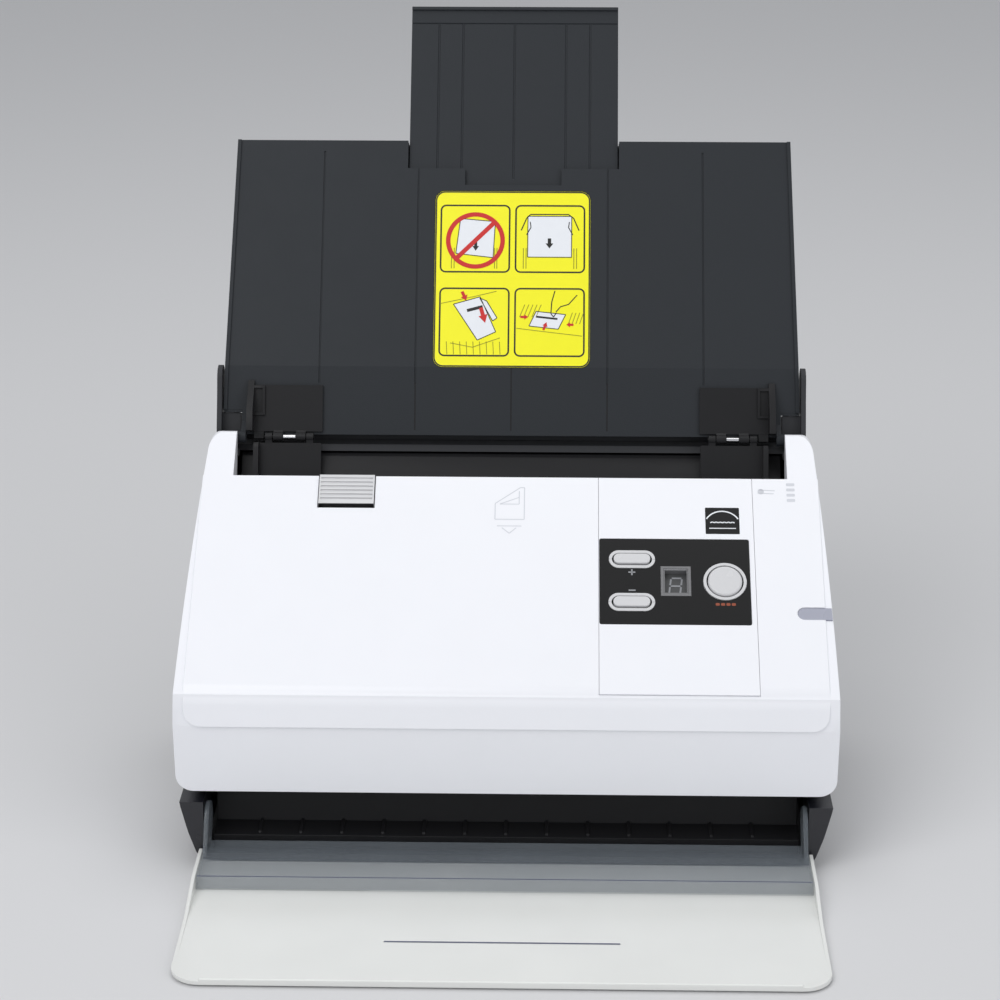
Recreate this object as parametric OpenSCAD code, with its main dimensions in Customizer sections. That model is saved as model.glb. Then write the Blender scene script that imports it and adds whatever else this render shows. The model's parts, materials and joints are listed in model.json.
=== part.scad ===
// Sheet fed document scanner: a folding chute with an extension and two coupled side guides,
// a front cover that opens away from the paper path, and a fold-down exit tray.
// Working frame: X to the right, Y to the back, Z up, Y = 0 at the cover's front band,
// Z = 0 at the table. place() moves the origin under the middle of the whole scanner.

/* [Body] */
// Widest width of the front cover
body_w = 318; // [317:0.5:319]
// Thickness of the moulded walls
wall = 2.5; // [2.2:0.1:2.8]
// Height of the rubber feet
foot_h = 3; // [2.6:0.1:3]
// Radius of the rubber feet
foot_r = 8; // [6:0.5:9]
// Depth from the front band to the back wall
body_d = 163; // [162:0.5:165]

/* [Face] */
// Slope of the control face from horizontal
face_angle = 37; // [36.8:0.1:37.2]
// Length of the control face up its slope
face_len = 124.6; // [124:0.1:125]

/* [Chute] */
// Slope of the chute's short lower part from horizontal
fold_angle = 68; // [67.5:0.1:68.5]
// How much flatter the long upper part is
chute_bend = 10; // [9:0.1:10]
// Length of the long upper part
chute_len = 121.5; // [118:0.5:124]
// Half the width of the chute
chute_hw = 146.8; // [146:0.1:146.8]
// How much narrower each side of the chute is at its top
chute_taper = 3.4; // [3:0.1:3.6]
// Half the width of the extension
ext_hw = 54.2; // [50:0.1:54.2]
// Length of the extension plate
ext_len = 120; // [116:1:122]
// Length of the extension that stands out of the chute
ext_out = 74.9; // [72:0.1:76]

/* [Rollers] */
// Radius of the driven transport and exit tyres
drive_r = 8; // [8:1:8]
// Radius of the feed tyre
feed_r = 12; // [12:1:12]
// Radius of the idle pinch tyres
pinch_r = 6; // [5.8:0.1:6]
// Radial running clearance of shafts in their bores
run = 0.05; // [0.03:0.01:0.08]

/* [Exit tray] */
// Reach of the tray in front of the band
tray_reach = 117; // [115:0.5:119]
// Half the width of the tray
tray_hw = 148.2; // [148:0.1:149]

/* [Hidden] */
$fn = 64;
far = 400;

face_o = [2.6, 89];                       // bend line of the control face
path_o = [28, 38];                        // mouth of the paper path
path_angle = 51.8;
fold_o = [129.5, 175.3];                  // fold axis of the chute
floor_z = -2.5;                           // chute floor behind the fold axis
bend_y = 36.5;                            // bend line up the lower chute
notch_y = 14;                             // corners below this leave room for the cheeks
cheek_x = 138.7;                          // inner walls of the cover's cheeks
cover_o = [11, 43.5];                     // hinge axis of the front cover
tray_o = [6, 22];                         // hinge axis of the exit tray
frame_x = 139;                            // inner faces of the side frames
gear_x = -148.5;                          // outer faces of the drive gears
gear_w = 6;
top_a = fold_angle - chute_bend;
bend_o = fold_o + [bend_y * cos(fold_angle) - floor_z * sin(fold_angle),
    bend_y * sin(fold_angle) + floor_z * cos(fold_angle)];
ext_tip = bend_o[0] + (chute_len + ext_out) * cos(top_a) + 4.6 * sin(top_a);
mid_y = (ext_tip - tray_reach) / 2;
shaft_r = 3;
transport_s = 82;
exit_s = 16;
feed_s = 112;
drive_z = -drive_r - 0.1;
feed_z = -feed_r - 0.1;
pinch_z = pinch_r + 0.1;
drive_x = [-85, -30, 30, 85];
tyre_w = 16;

function polar(r, a) = [r * cos(a), r * sin(a)];
function arc(c, r, a0, a1, n) = [for (i = [0 : n]) c + polar(r, a0 + (a1 - a0) * i / n)];
function flip(pts) = [for (i = [len(pts) - 1 : -1 : 0]) [-pts[i][0], pts[i][1]]];
function up_path(s, z) = path_o + [s * cos(path_angle) - z * sin(path_angle),
    s * sin(path_angle) + z * cos(path_angle)];

// places and frames
module place() translate([0, -mid_y, 0]) children();
module in_face() translate([0, face_o[0], face_o[1]]) rotate([face_angle, 0, 0]) children();
module in_path() translate([0, path_o[0], path_o[1]]) rotate([path_angle, 0, 0]) children();
module in_chute() translate([0, fold_o[0], fold_o[1]]) rotate([fold_angle, 0, 0]) children();
module bent() translate([0, bend_y, floor_z]) rotate([-chute_bend, 0, 0]) children();
module in_upper() in_chute() bent() children();
module both() {
    children();
    mirror([1, 0, 0]) children();
}

// solids drawn as a side view and pushed along X
module slab(x0, x1, pts) translate([x0, 0, 0]) rotate([90, 0, 90]) linear_extrude(x1 - x0) polygon(pts);
module rod(x0, x1, r, y = 0, z = 0) translate([x0, y, z]) rotate([0, 90, 0]) cylinder(r = r, h = x1 - x0);
module block(x0, x1, y0, y1, z0, z1) translate([x0, y0, z0]) cube([x1 - x0, y1 - y0, z1 - z0]);
module card(w, h, r) {
    square([w - 2 * r, h], center = true);
    square([w, h - 2 * r], center = true);
    for (sx = [-1, 1], sy = [-1, 1]) translate([sx * (w / 2 - r), sy * (h / 2 - r)]) circle(r, $fn = 32);
}
module pill(w, h) {
    square([w - h, h], center = true);
    for (sx = [-1, 1]) translate([sx * (w - h) / 2, 0]) circle(h / 2);
}

// involute spur gears of module m with thinned teeth, and racks to suit
function inv(a) = tan(a) * 180 / PI - a;
function flank(m, n, r) = r <= m * n / 2 * cos(20) ? inv(20) : inv(20) - inv(acos(m * n / 2 * cos(20) / r));
function half_tooth(m, n, r) = (90 / n - 0.13 / (m * n / 2) * 180 / PI) + flank(m, n, r);
function gear_pts(m, n, phase) = let (rp = m * n / 2, rs = [rp - 1.15 * m, rp - 0.5 * m, rp, rp + 0.75 * m])
    [for (i = [0 : n - 1]) let (c = phase + 360 * i / n)
        each concat([for (r = rs) polar(r, c - half_tooth(m, n, r))],
            [for (k = [3 : -1 : 0]) polar(rs[k], c + half_tooth(m, n, rs[k]))])];
function mesh_phase(a, from_phase, from_n, to_n) =
    a + 180 + (a - from_phase) * from_n / to_n + 180 / to_n;
module gear(m, n, phase, w, bore_r) difference() {
    slab(0, w, gear_pts(m, n, phase));
    rod(-1, w + 1, bore_r);
}

// outline of the body seen from the front, inset by t
function half_w(z) = body_w / 2 - 5.6 * pow(max(0, z - 62) / 104, 2);
function side_pts(t) = concat(arc([150.5, 45.8], 8.5 - t, -90, 0, 6),
    [for (z = [62 : 12 : 158]) [half_w(z) - t, z]], arc([145, 172.4], 7.6 - t, 0, 90, 8));
module seen_from_front(pts) translate([0, far, 0]) rotate([90, 0, 0]) linear_extrude(2 * far)
    polygon(concat(pts, flip(pts)));
module front_outline(t) seen_from_front(side_pts(t));
// the same for the hollow inside, open to below
module front_hollow(t) seen_from_front(concat([[150.4, 20]], side_pts(t)));

// ---- front cover -------------------------------------------------------------------------
part_a = 69;                              // slope of the parting line at the cover's back edge
back_top = [124.6, 175.4];
back_low = [back_top[0] - (back_top[1] - 37.3) / tan(part_a), 37.3];
function face_pt(u, z) = face_o + [u * cos(face_angle) - z * sin(face_angle),
    u * sin(face_angle) + z * cos(face_angle)];
cover_pts = concat([[3, 37.3], [0.2, 72.9], face_pt(0, -1), face_pt(face_len - 1, -1), face_pt(face_len, 0)],
    arc(face_pt(face_len + 25.4, -3), 3, 90 + face_angle, 45, 5), [[125.3, 176.8], back_top, back_low]);
cover_void = [[3 + wall, 30], [0.2 + wall, 72.9], face_pt(0.6, -1 - wall), face_pt(face_len + 14, -1 - wall),
    [far, 170], [far, 30]];
panel_x = 154;
panel_drop = 16;                          // depth of the raised panel below the bend line
tab_x = [-95, -67.4];
tab_u = [107.7, face_len];
control_x = [44.3, 121];
control_u = [1.4, face_len + 1];
label_mid = [81.5, 64.4];
label_w = 73.4;
label_h = 48.6;
plus_at = [60.7, 76.8];
minus_at = [60.4, 52.4];
scan_at = [105.9, 64.4];
digit_at = [82, 64.6];

module raised_panel() intersection() {
    union() {
        in_face() block(-panel_x, panel_x, -0.4, face_len, -1.2, 0);
        slab(-panel_x, panel_x, [[-1, 89 - panel_drop], [1, 89 - panel_drop], [4, 88.6], face_o]);
    }
    translate([0, 0, 89 - panel_drop]) rotate([90, 0, 0]) translate([0, 100, -far])
        linear_extrude(2 * far) card(2 * panel_x, 200, 8);
}
module cheek_walls() both() slab(cheek_x, cheek_x + wall,
    [[93.5, 157.2], [121.5, 178], [124.2, 174.8], [120, 164], [108, 143], [97, 134]]);
module cover_lugs() both() difference() {
    union() {
        rod(150.6, 153.4, 5, cover_o[0], cover_o[1]);
        block(150.6, 153.4, 3.4, cover_o[0], cover_o[1] - 2, cover_o[1] + 14);
        block(150.6, 157, 3.4, 8, cover_o[1] + 6, cover_o[1] + 14);
    }
    rod(150, 154, 1.8 + run, cover_o[0], cover_o[1]);
}
module front_cover() place() color([0.93, 0.94, 0.96]) {
    difference() {
        union() {
            difference() {
                intersection() {
                    slab(-165, 165, cover_pts);
                    front_outline(0);
                }
                intersection() {
                    slab(-165, 165, cover_void);
                    front_hollow(wall);
                }
            }
            raised_panel();
            in_face() block(-cheek_x - 1, cheek_x + 1, face_len - 3, face_len, -9, -1);
        }
        in_face() block(-cheek_x, cheek_x, face_len, face_len + 90, -90, 20);
        in_face() block(control_x[0], control_x[1], control_u[0], control_u[1], -2, 5);
        in_face() block(control_x[0] + 3, control_x[1] - 3, 8, 116, -8, 5);
        in_face() block(tab_x[0] - 0.5, tab_x[1] + 0.5, tab_u[0] - 2, face_len + 1, -12, 5);
        in_face() translate([0, 0, -1.5]) linear_extrude(5) {
            translate([160, 46.8]) square([34, 7], center = true);
            translate([143.9, 46.8]) circle(3.5);
        }
    }
    cheek_walls();
    cover_lugs();
}

button_r = 8.8;
module pill_at(p, w, h, z0, z1) translate([p[0], p[1], z0]) linear_extrude(z1 - z0) pill(w, h);
module disc_at(p, r, z0, z1) translate([p[0], p[1], z0]) cylinder(r = r, h = z1 - z0);
module control_panel() place() color([0.93, 0.94, 0.96]) in_face() difference() {
    block(control_x[0] + 0.2, control_x[1] - 0.2, control_u[0] + 0.2, face_len, -1.9, 0);
    translate([label_mid[0], label_mid[1], -0.5]) linear_extrude(2) card(label_w + 0.4, label_h + 0.4, 1.2);
    for (p = [plus_at, minus_at]) pill_at(p, 20.4, 8, -3, 1);
    disc_at(scan_at, button_r + 0.4, -3, 1);
    translate([digit_at[0], digit_at[1], -3]) linear_extrude(5) square([12, 14], center = true);
}
module control_label() place() color([0.12, 0.12, 0.12]) in_face() difference() {
    translate([label_mid[0], label_mid[1], -0.5]) linear_extrude(0.5) card(label_w, label_h, 1);
    for (p = [plus_at, minus_at]) pill_at(p, 22.8, 10.2, -3, 1);
    disc_at(scan_at, 10.7, -3, 1);
    translate([digit_at[0], digit_at[1], -3]) linear_extrude(5) square([14.8, 17], center = true);
}
module button_rings() place() color([0.7, 0.7, 0.72]) in_face() {
    for (p = [plus_at, minus_at]) difference() {
        pill_at(p, 22.6, 10, -0.5, 0.4);
        pill_at(p, 20.4, 8, -3, 1);
    }
    difference() {
        disc_at(scan_at, 10.5, -0.5, 0.5);
        disc_at(scan_at, button_r + 0.4, -3, 1);
    }
}
switch_z = -7.4;
module pill_button(p) in_face() {
    pill_at(p, 19.8, 7.4, -2, 1.2);
    pill_at(p, 21.6, 9.2, -3.2, -2.2);
    pill_at(p, 18, 6, -2.4, -1.8);
    disc_at(p, 2, switch_z + 1, -3);
}
module plus_button() place() color([0.82, 0.82, 0.84]) pill_button(plus_at);
module minus_button() place() color([0.82, 0.82, 0.84]) pill_button(minus_at);
module scan_button() place() color([0.82, 0.82, 0.84]) in_face() {
    disc_at(scan_at, button_r, -2.2, 1.6);
    disc_at(scan_at, button_r + 1.4, -3.2, -2.2);
    disc_at(scan_at, 2.5, switch_z + 1, -3);
}
module display_window() place() color([0.35, 0.33, 0.33, 0.6]) in_face()
    translate([digit_at[0], digit_at[1], -0.5]) linear_extrude(0.5) square([14.6, 16.8], center = true);
module digit_module() place() color([0.85, 0.85, 0.85]) in_face()
    block(digit_at[0] - 5.8, digit_at[0] + 5.8, digit_at[1] - 6.8, digit_at[1] + 6.8, switch_z - 1, -0.7);
module button_board() place() color([0.1, 0.35, 0.18]) in_face() {
    block(48, 117.5, 38, 90, switch_z - 2.6, switch_z - 1);
    for (p = [plus_at, minus_at, scan_at])
        block(p[0] - 3, p[0] + 3, p[1] - 3, p[1] + 3, switch_z - 1, switch_z);
}
module light_pipe() place() color([0.6, 0.62, 0.66]) intersection() {
    in_face() translate([0, 0, -1.45]) linear_extrude(1.1) {
        translate([160, 46.8]) square([34 - 0.4, 6.6], center = true);
        translate([143.9, 46.8]) circle(3.3);
    }
    front_outline(0.3);
}

latch_at = [120, 12.6];
hook_x = [130.4, 134];
module release_tab() place() color([0.72, 0.73, 0.75]) in_face() {
    difference() {
        block(tab_x[0], tab_x[1], tab_u[0], face_len, -3.4, 1.2);
        for (u = [tab_u[0] + 2.4 : 2.4 : face_len - 2])
            block(tab_x[0] + 0.8, tab_x[1] - 0.8, u, u + 0.9, 0.6, 3);
    }
    block(tab_x[0] + 2, tab_x[1] - 2, 102, face_len - 8, -6.4, -3.9);
    block(tab_x[0] + 2, tab_x[1] - 2, tab_u[0] + 1.6, face_len - 8, -4.4, -3);
    block(-84.2, -78.2, 102.9, 104.5, -8, -6.2);
}
module latch_bar() place() color([0.2, 0.2, 0.22]) in_path() {
    rod(-135.6, 135.6, 2.5, latch_at[0], latch_at[1]);
    both() slab(hook_x[0], hook_x[1], [[121.4, latch_at[1]], [123.9, latch_at[1]], [124.4, -3],
        [124.2, -6.6], [118.4, -6.6], [118.4, -5.4], [121.2, -5], [121.6, -3]]);
    slab(-83.6, -78.8, [latch_at - [2, 0], latch_at + [2, 0], latch_at + [1, 6.2], latch_at + [-0.4, 6.2]]);
}

// a driven or idle shaft hole with its U lugs, used along the inner frame
module lug(x, s, r) difference() {
    block(x - 1.5, x + 1.5, s - 4, s + 4, 1.6, pinch_z + 4);
    rod(x - 2, x + 2, r, s, pinch_z);
}
pinch_lugs = [-60, 60];
frame_s = [4, 113];
module tyre_windows(s, h, w, z0, z1) for (x = drive_x) block(x - w / 2, x + w / 2, s - h, s + h, z0, z1);
module inner_frame() place() color([0.16, 0.16, 0.17]) {
    in_path() difference() {
        union() {
            block(-137, 137, frame_s[0], frame_s[1], 0.7, 2.2);
            slab(-137, 137, [[113, 0.7], [140.5, 15.4], [139.5, 17.2], [112.2, 2.2]]);
            both() slab(134.5, 137,
                [[5, 1], [112, 1], [139, 16], [138.6, 17], [128, 19.8], [40, 21], [5, 12]]);
            for (x = pinch_lugs, s = [transport_s, exit_s]) lug(x, s, 2 + run);
            both() block(23.6, 25.6, 93, 101, 1.6, 10.6);
        }
        tyre_windows(transport_s, 6, tyre_w + 3, 0, 9);
        tyre_windows(exit_s, 6, tyre_w + 3, 0, 9);
        block(-113, 113, 42.6, 61.4, 0, 2.3);
        block(-23, 23, 94, 120, -1, 12);
        both() block(hook_x[0] - 1.2, hook_x[1] + 0.4, 115.8, 131, -1, 16);
        block(51.5, 58.5, 70, 82, -1, 5);
        rod(-140, 140, 2.5 + run, latch_at[0], latch_at[1]);
        rod(-27, 27, 1.6 + run, pad_at[0], pad_at[1]);
    }
    slab(-137, 137, [[6, 38.2], [30.2, 40.2], up_path(4.4, 0.7), up_path(4.4, 2.4), [6, 40.2]]);
}
module upper_scan_bar() place() color([0.22, 0.22, 0.24]) in_path() block(-112, 112, 40, 64, 2.5, 17);
module upper_scan_glass() place() color([0.6, 0.75, 0.75, 0.5]) in_path()
    block(-112.8, 112.8, 42.8, 61.2, 0.8, 2.3);
pad_at = [97, 7.5];
module separation_pad() place() in_path() {
    color([0.2, 0.2, 0.2]) {
        rod(-25.6, 25.6, 1.6, pad_at[0], pad_at[1]);
        slab(-19, 19, [[95.6, 7], [97, 9], [100, 5], [115, 4.6], [115, 2.2], [99, 2.2]]);
    }
    color([0.55, 0.4, 0.3]) block(-17, 17, 104, 115, 0.15, 2.2);
}
module pinch_roller(s) in_path() {
    rod(-98, 98, 2, s, pinch_z);
    for (x = drive_x) rod(x - tyre_w / 2, x + tyre_w / 2, pinch_r, s, pinch_z);
}
module transport_pinch() place() color([0.75, 0.75, 0.72]) pinch_roller(transport_s);
module exit_pinch() place() color([0.75, 0.75, 0.72]) pinch_roller(exit_s);

// ---- base and rear housing ---------------------------------------------------------------
base_side = [[147.5, 3], [150, 7], [153.5, 17], [157, 30], [158.4, 37]];
function base_in(t) = [for (p = base_side) [p[0] - t, p[1]]];
base_pts = [[-2, 3], [-1.6, 6.4], [-0.8, 20], [0.6, 32.4], [23.5, 32.4], [28, 36.9],
    [body_d, 36.9], [body_d, 3]];
screw_at = [[-110, 40], [110, 40], [-110, 150], [110, 150]];
jack_at = [96, 20];
usb_at = [66, 20];
rocker_at = [-96, 21];
lock_at = [-120, 24];
module base_pan() place() color([0.1, 0.1, 0.12]) difference() {
    union() {
        difference() {
            intersection() {
                slab(-165, 165, base_pts);
                seen_from_front(base_side);
            }
            intersection() {
                slab(-165, 165, [[26, 3 + wall], [26, 60], [body_d - wall, 60], [body_d - wall, 3 + wall]]);
                seen_from_front([for (p = base_in(wall)) [p[0], p[1] * 1.01]]);
            }
            block(-146, 146, -10, 30, 6.4, 60);
            block(-142.8, 142.8, 3, 30, 4.4, 60);
        }
        both() slab(146, 150, [[20, 25], [27, 20], [44, 28], [44, 33.4], [39, 34.6], [34, 39],
            cover_o + polar(5, 75), each arc(cover_o, 5, 75, 315, 16), [24.5, 32.4]]);
        for (p = screw_at) translate([p[0], p[1], 4]) cylinder(r = 4.5, h = 16);
    }
    both() rod(140, 149, 2.4 + run, tray_o[0], tray_o[1]);
    both() rod(140, 151, 1.8, cover_o[0], cover_o[1]);
    for (p = screw_at) translate([p[0], p[1], 0]) {
        cylinder(r = 1.5, h = 14);
        cylinder(r = 3.2, h = 6);
    }
    translate([jack_at[0], body_d - 5, jack_at[1]]) rotate([-90, 0, 0]) cylinder(r = 4.7, h = 10);
    block(usb_at[0] - 6.3, usb_at[0] + 6.3, body_d - 5, body_d + 5, usb_at[1] - 5.7, usb_at[1] + 5.7);
    block(rocker_at[0] - 7.5, rocker_at[0] + 7.5, body_d - 5, body_d + 5,
        rocker_at[1] - 5.5, rocker_at[1] + 5.5);
    rod(rocker_at[0] - 9.3, rocker_at[0] + 9.3, 1.2 + run, body_d - 2, rocker_at[1]);
    block(lock_at[0] - 3.5, lock_at[0] + 3.5, body_d - 5, body_d + 5, lock_at[1] - 1.5, lock_at[1] + 1.5);
}
module rubber_feet() place() color([0.15, 0.15, 0.15]) for (x = [-128, 128], y = [14, 148])
    translate([x, y, 0]) cylinder(r = foot_r, h = foot_h);
module case_screws() place() color([0.6, 0.6, 0.62]) for (p = screw_at) translate([p[0], p[1], 4.2]) {
    difference() {
        cylinder(r = 2.9, h = 1.8);
        translate([0, 0, -0.1]) cylinder(r = 1.2, h = 1.1, $fn = 6);
    }
    cylinder(r = 1.45, h = 9.5);
}

rear_pts = [back_low + [0.9, 0.1], back_top + [0.9, -5], [131.5, 165.8], [135.2, 169.6], [143.4, 169.6],
    [145.2, 174], [148.6, 174], [152.6, 168.4], [157, 158], [159.4, 146], [body_d, 60], [body_d, 37.3]];
rear_void = [[0, 20], [0, 162.8], [136, 167], [145, 167], [147, 171], [147.6, 171], [150.2, 167.2],
    [154.5, 157], [156.8, 145.6], [body_d - wall, 60], [body_d - wall, 20]];
ear_x = [147.4, 149.8];
ear_pts = concat(arc([0, 0], 3.6, 180, 270, 8), [[-3, -12], [26, -13]], arc([30, -5], 7, -90, 90, 12),
    [[20, 1.4], [4, 1.8]]);
module rear_housing() place() color([0.16, 0.17, 0.18]) difference() {
    union() {
        difference() {
            intersection() {
                slab(-165, 165, rear_pts);
                front_outline(1.4);
            }
            intersection() {
                slab(-165, 165, rear_void);
                front_hollow(1.4 + wall);
            }
            slab(-138.2, 138.2, [[60, 30], [131, 164.6], [124, 185], [60, 120]]);
        }
        both() in_chute() difference() {
            slab(ear_x[0], ear_x[1], ear_pts);
            rod(140, 155, 1.6);
        }
        both() in_chute() slab(ear_x[0], ear_x[1] + 1, [[-13, -4], [-2, -4], [-2, -13], [-13, -13]]);
        both() in_chute() slab(cheek_x - 0.4, ear_x[0] + 0.5,
            [[-2, -5.4], [12.6, -5.4], [12.6, -3.7], [-2, -3.7]]);
    }
    both() in_chute() rod(146, 155, 1.6);
    for (x = [-60 : 6 : 60]) block(x - 1.2, x + 1.2, body_d - 12, body_d + 5, 70, 96);
}
module chute_hinge_pins() place() color([0.7, 0.7, 0.72]) both() in_chute() rod(136, 149.6, 1.6);
module cover_hinge_pins() place() color([0.7, 0.7, 0.72])
    both() rod(146.4, 153.2, 1.8, cover_o[0], cover_o[1]);

module exit_deck() place() color([0.1, 0.1, 0.11]) difference() {
    union() {
        slab(-142.4, 142.4,
            [[7.4, 4.8], [7.4, 11.8], [22, 12.6], [27, 36], [28.4, 36], [29.4, 34], [25.4, 12], [24, 4.8]]);
        for (x = [-120 : 20 : 120])
            slab(x - 0.8, x + 0.8, [[8, 11], [10, 12.8], [22.4, 13.6], [27, 35.6], [28, 34], [24, 11]]);
    }
    slab(-138, 138, [[9.4, 0], [9.4, 9.8], [23.2, 10.6], [23.4, 0]]);
}
guide_pts = [[3, -0.7], [130, -0.7], [142, -3], [160, -3.2], each arc([163.6, -5.6], 2.4, 100, -40, 8),
    [158, -5], [142, -4.8], [130, -2.2], [3, -2.2]];
module paper_guide() place() color([0.2, 0.2, 0.22]) in_path() difference() {
    union() {
        slab(-137.4, 137.4, guide_pts);
        for (x = [48, 60.4]) block(x, x + 1.6, 66, 74, -11, -1.5);
        rod(48, 62, 1.2, flag_at[0], flag_at[1]);
    }
    tyre_windows(transport_s, 6, tyre_w + 3, -9, 1);
    tyre_windows(exit_s, 6, tyre_w + 3, -9, 1);
    block(-23, 23, 104.5, 119.5, -9, 1);
    block(-113, 113, 38.6, 57.4, -9, 1);
    both() block(hook_x[0] - 1.2, hook_x[1] + 0.6, 116, 130.6, -9, 1);
    block(52, 58, 70, 82, -9, 1);
}
module lower_scan_bar() place() color([0.22, 0.22, 0.24]) in_path() block(-112, 112, 36, 60, -17, -2.5);
module lower_scan_glass() place() color([0.6, 0.75, 0.75, 0.5]) in_path()
    block(-112.8, 112.8, 38.8, 57.2, -2.3, -0.8);
frame_pts = [[33, 5.8], [150, 5.8], [150, 60], [138, 120], [128, 152], up_path(138, -7), up_path(4, -7),
    [30.5, 30]];
module side_plates() both() difference() {
    slab(frame_x, frame_x + 2, frame_pts);
    in_path() {
        rod(130, 150, 5.02, transport_s, drive_z);
        rod(130, 150, 5.02, exit_s, drive_z);
        rod(130, 150, 5.02, feed_s, feed_z);
        rod(130, 150, 9, motor_at[0], motor_at[1]);
    }
    rod(130, 150, 22, 118, 60);
    rod(130, 150, 9, 124, 105);
}
module side_frames() place() color([0.62, 0.64, 0.66]) {
    side_plates();
    in_path() for (p = [[idler_s, drive_z], feed_idler_at]) rod(gear_x, -frame_x - 1, 2.5, p[0], p[1]);
}
module shaft_bushes() place() color([0.86, 0.85, 0.8]) in_path() both()
    for (p = [[transport_s, drive_z], [exit_s, drive_z], [feed_s, feed_z]]) difference() {
        union() {
            rod(frame_x, frame_x + 2, 5, p[0], p[1]);
            rod(frame_x - 1.2, frame_x, 6.4, p[0], p[1]);
        }
        rod(130, 150, shaft_r + run, p[0], p[1]);
    }
module latch_catches() place() color([0.7, 0.7, 0.72]) in_path() both() {
    rod(hook_x[0] - 2.4, frame_x, 1.3, 119.4, -3.6);
    slab(hook_x[1] + 1, frame_x, [[118, -3.6], [120.8, -3.6], [122, -9], [118.6, -9]]);
}

// ---- drive train -------------------------------------------------------------------------
idler_s = (transport_s + exit_s) / 2;
transport_n = 20;
idler_n = transport_s - exit_s - transport_n;
pinion_n = 12;
feed_n = 30;
feed_idler_n = 16;
motor_a = -80;                            // line from the big idler to the motor
idler_phase = mesh_phase(180, 0, transport_n, idler_n);
pinion_phase = mesh_phase(motor_a, idler_phase, idler_n, pinion_n);
exit_phase = mesh_phase(180, idler_phase, idler_n, transport_n);
motor_at = [idler_s, drive_z] + polar((idler_n + pinion_n) / 2, motor_a);
feed_d = [feed_s - transport_s, feed_z - drive_z];
feed_gap = norm(feed_d);
feed_a = atan2(feed_d[1], feed_d[0]);
ti = (transport_n + feed_idler_n) / 2;
fi = (feed_n + feed_idler_n) / 2;
feed_turn = acos((ti * ti + feed_gap * feed_gap - fi * fi) / (2 * ti * feed_gap));
feed_idler_a = feed_a - feed_turn;
feed_idler_at = [transport_s, drive_z] + polar(ti, feed_idler_a);
feed_idler_phase = mesh_phase(feed_idler_a, 0, transport_n, feed_idler_n);
to_feed = [feed_s, feed_z] - feed_idler_at;
feed_phase = mesh_phase(atan2(to_feed[1], to_feed[0]), feed_idler_phase, feed_idler_n, feed_n);

module gear_at(n, phase, p, bore_r) translate([gear_x, p[0], p[1]]) gear(1, n, phase, gear_w, bore_r);
module shaft_with_gear(n, phase, s, z) in_path() {
    rod(gear_x, frame_x + 3, shaft_r, s, z);
    gear_at(n, phase, [s, z], shaft_r);
}
module transport_shaft() place() color([0.75, 0.75, 0.77])
    shaft_with_gear(transport_n, 0, transport_s, drive_z);
module exit_shaft() place() color([0.75, 0.75, 0.77])
    shaft_with_gear(transport_n, exit_phase, exit_s, drive_z);
module feed_shaft() place() color([0.75, 0.75, 0.77])
    shaft_with_gear(feed_n, feed_phase, feed_s, feed_z);
module tyre(x0, x1, r, s, z) difference() {
    rod(x0, x1, r, s, z);
    rod(x0 - 1, x1 + 1, shaft_r, s, z);
}
module transport_tyres() place() color([0.25, 0.25, 0.27]) in_path()
    for (x = drive_x) tyre(x - tyre_w / 2, x + tyre_w / 2, drive_r, transport_s, drive_z);
module exit_tyres() place() color([0.25, 0.25, 0.27]) in_path()
    for (x = drive_x) tyre(x - tyre_w / 2, x + tyre_w / 2, drive_r, exit_s, drive_z);
module feed_tyre() place() color([0.25, 0.25, 0.27]) in_path() tyre(-20, 20, feed_r, feed_s, feed_z);
module free_gear(n, phase, p) in_path() gear_at(n, phase, p, 2.5 + run);
module drive_idler() place() color([0.88, 0.88, 0.84])
    free_gear(idler_n, idler_phase, [idler_s, drive_z]);
module feed_idler() place() color([0.88, 0.88, 0.84])
    free_gear(feed_idler_n, feed_idler_phase, feed_idler_at);
module motor_pinion() place() color([0.8, 0.7, 0.35]) in_path() {
    gear_at(pinion_n, pinion_phase, motor_at, 2);
    rod(gear_x, -128, 2, motor_at[0], motor_at[1]);
}
module drive_motor() place() color([0.5, 0.51, 0.53]) in_path() difference() {
    union() {
        rod(-138.8, -117, 17, motor_at[0], motor_at[1]);
        rod(-117, -116, 8, motor_at[0], motor_at[1]);
        block(-138.8, -137.2, motor_at[0] - 24, motor_at[0] + 24, motor_at[1] - 5, motor_at[1] + 5);
    }
    rod(-140, -126, 2 + run, motor_at[0], motor_at[1]);
}
flag_at = [70, -8];
module sensor_flag() place() color([0.2, 0.2, 0.2]) in_path() difference() {
    union() {
        rod(50, 60, 2.6, flag_at[0], flag_at[1]);
        slab(53.6, 56.4, [flag_at + [-1, 2], flag_at + [6, 8.3], flag_at + [9.4, 8.3], flag_at + [9.6, 6],
            flag_at + [1.6, -1.6]]);
    }
    rod(49, 61, 1.2 + run, flag_at[0], flag_at[1]);
}

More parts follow.
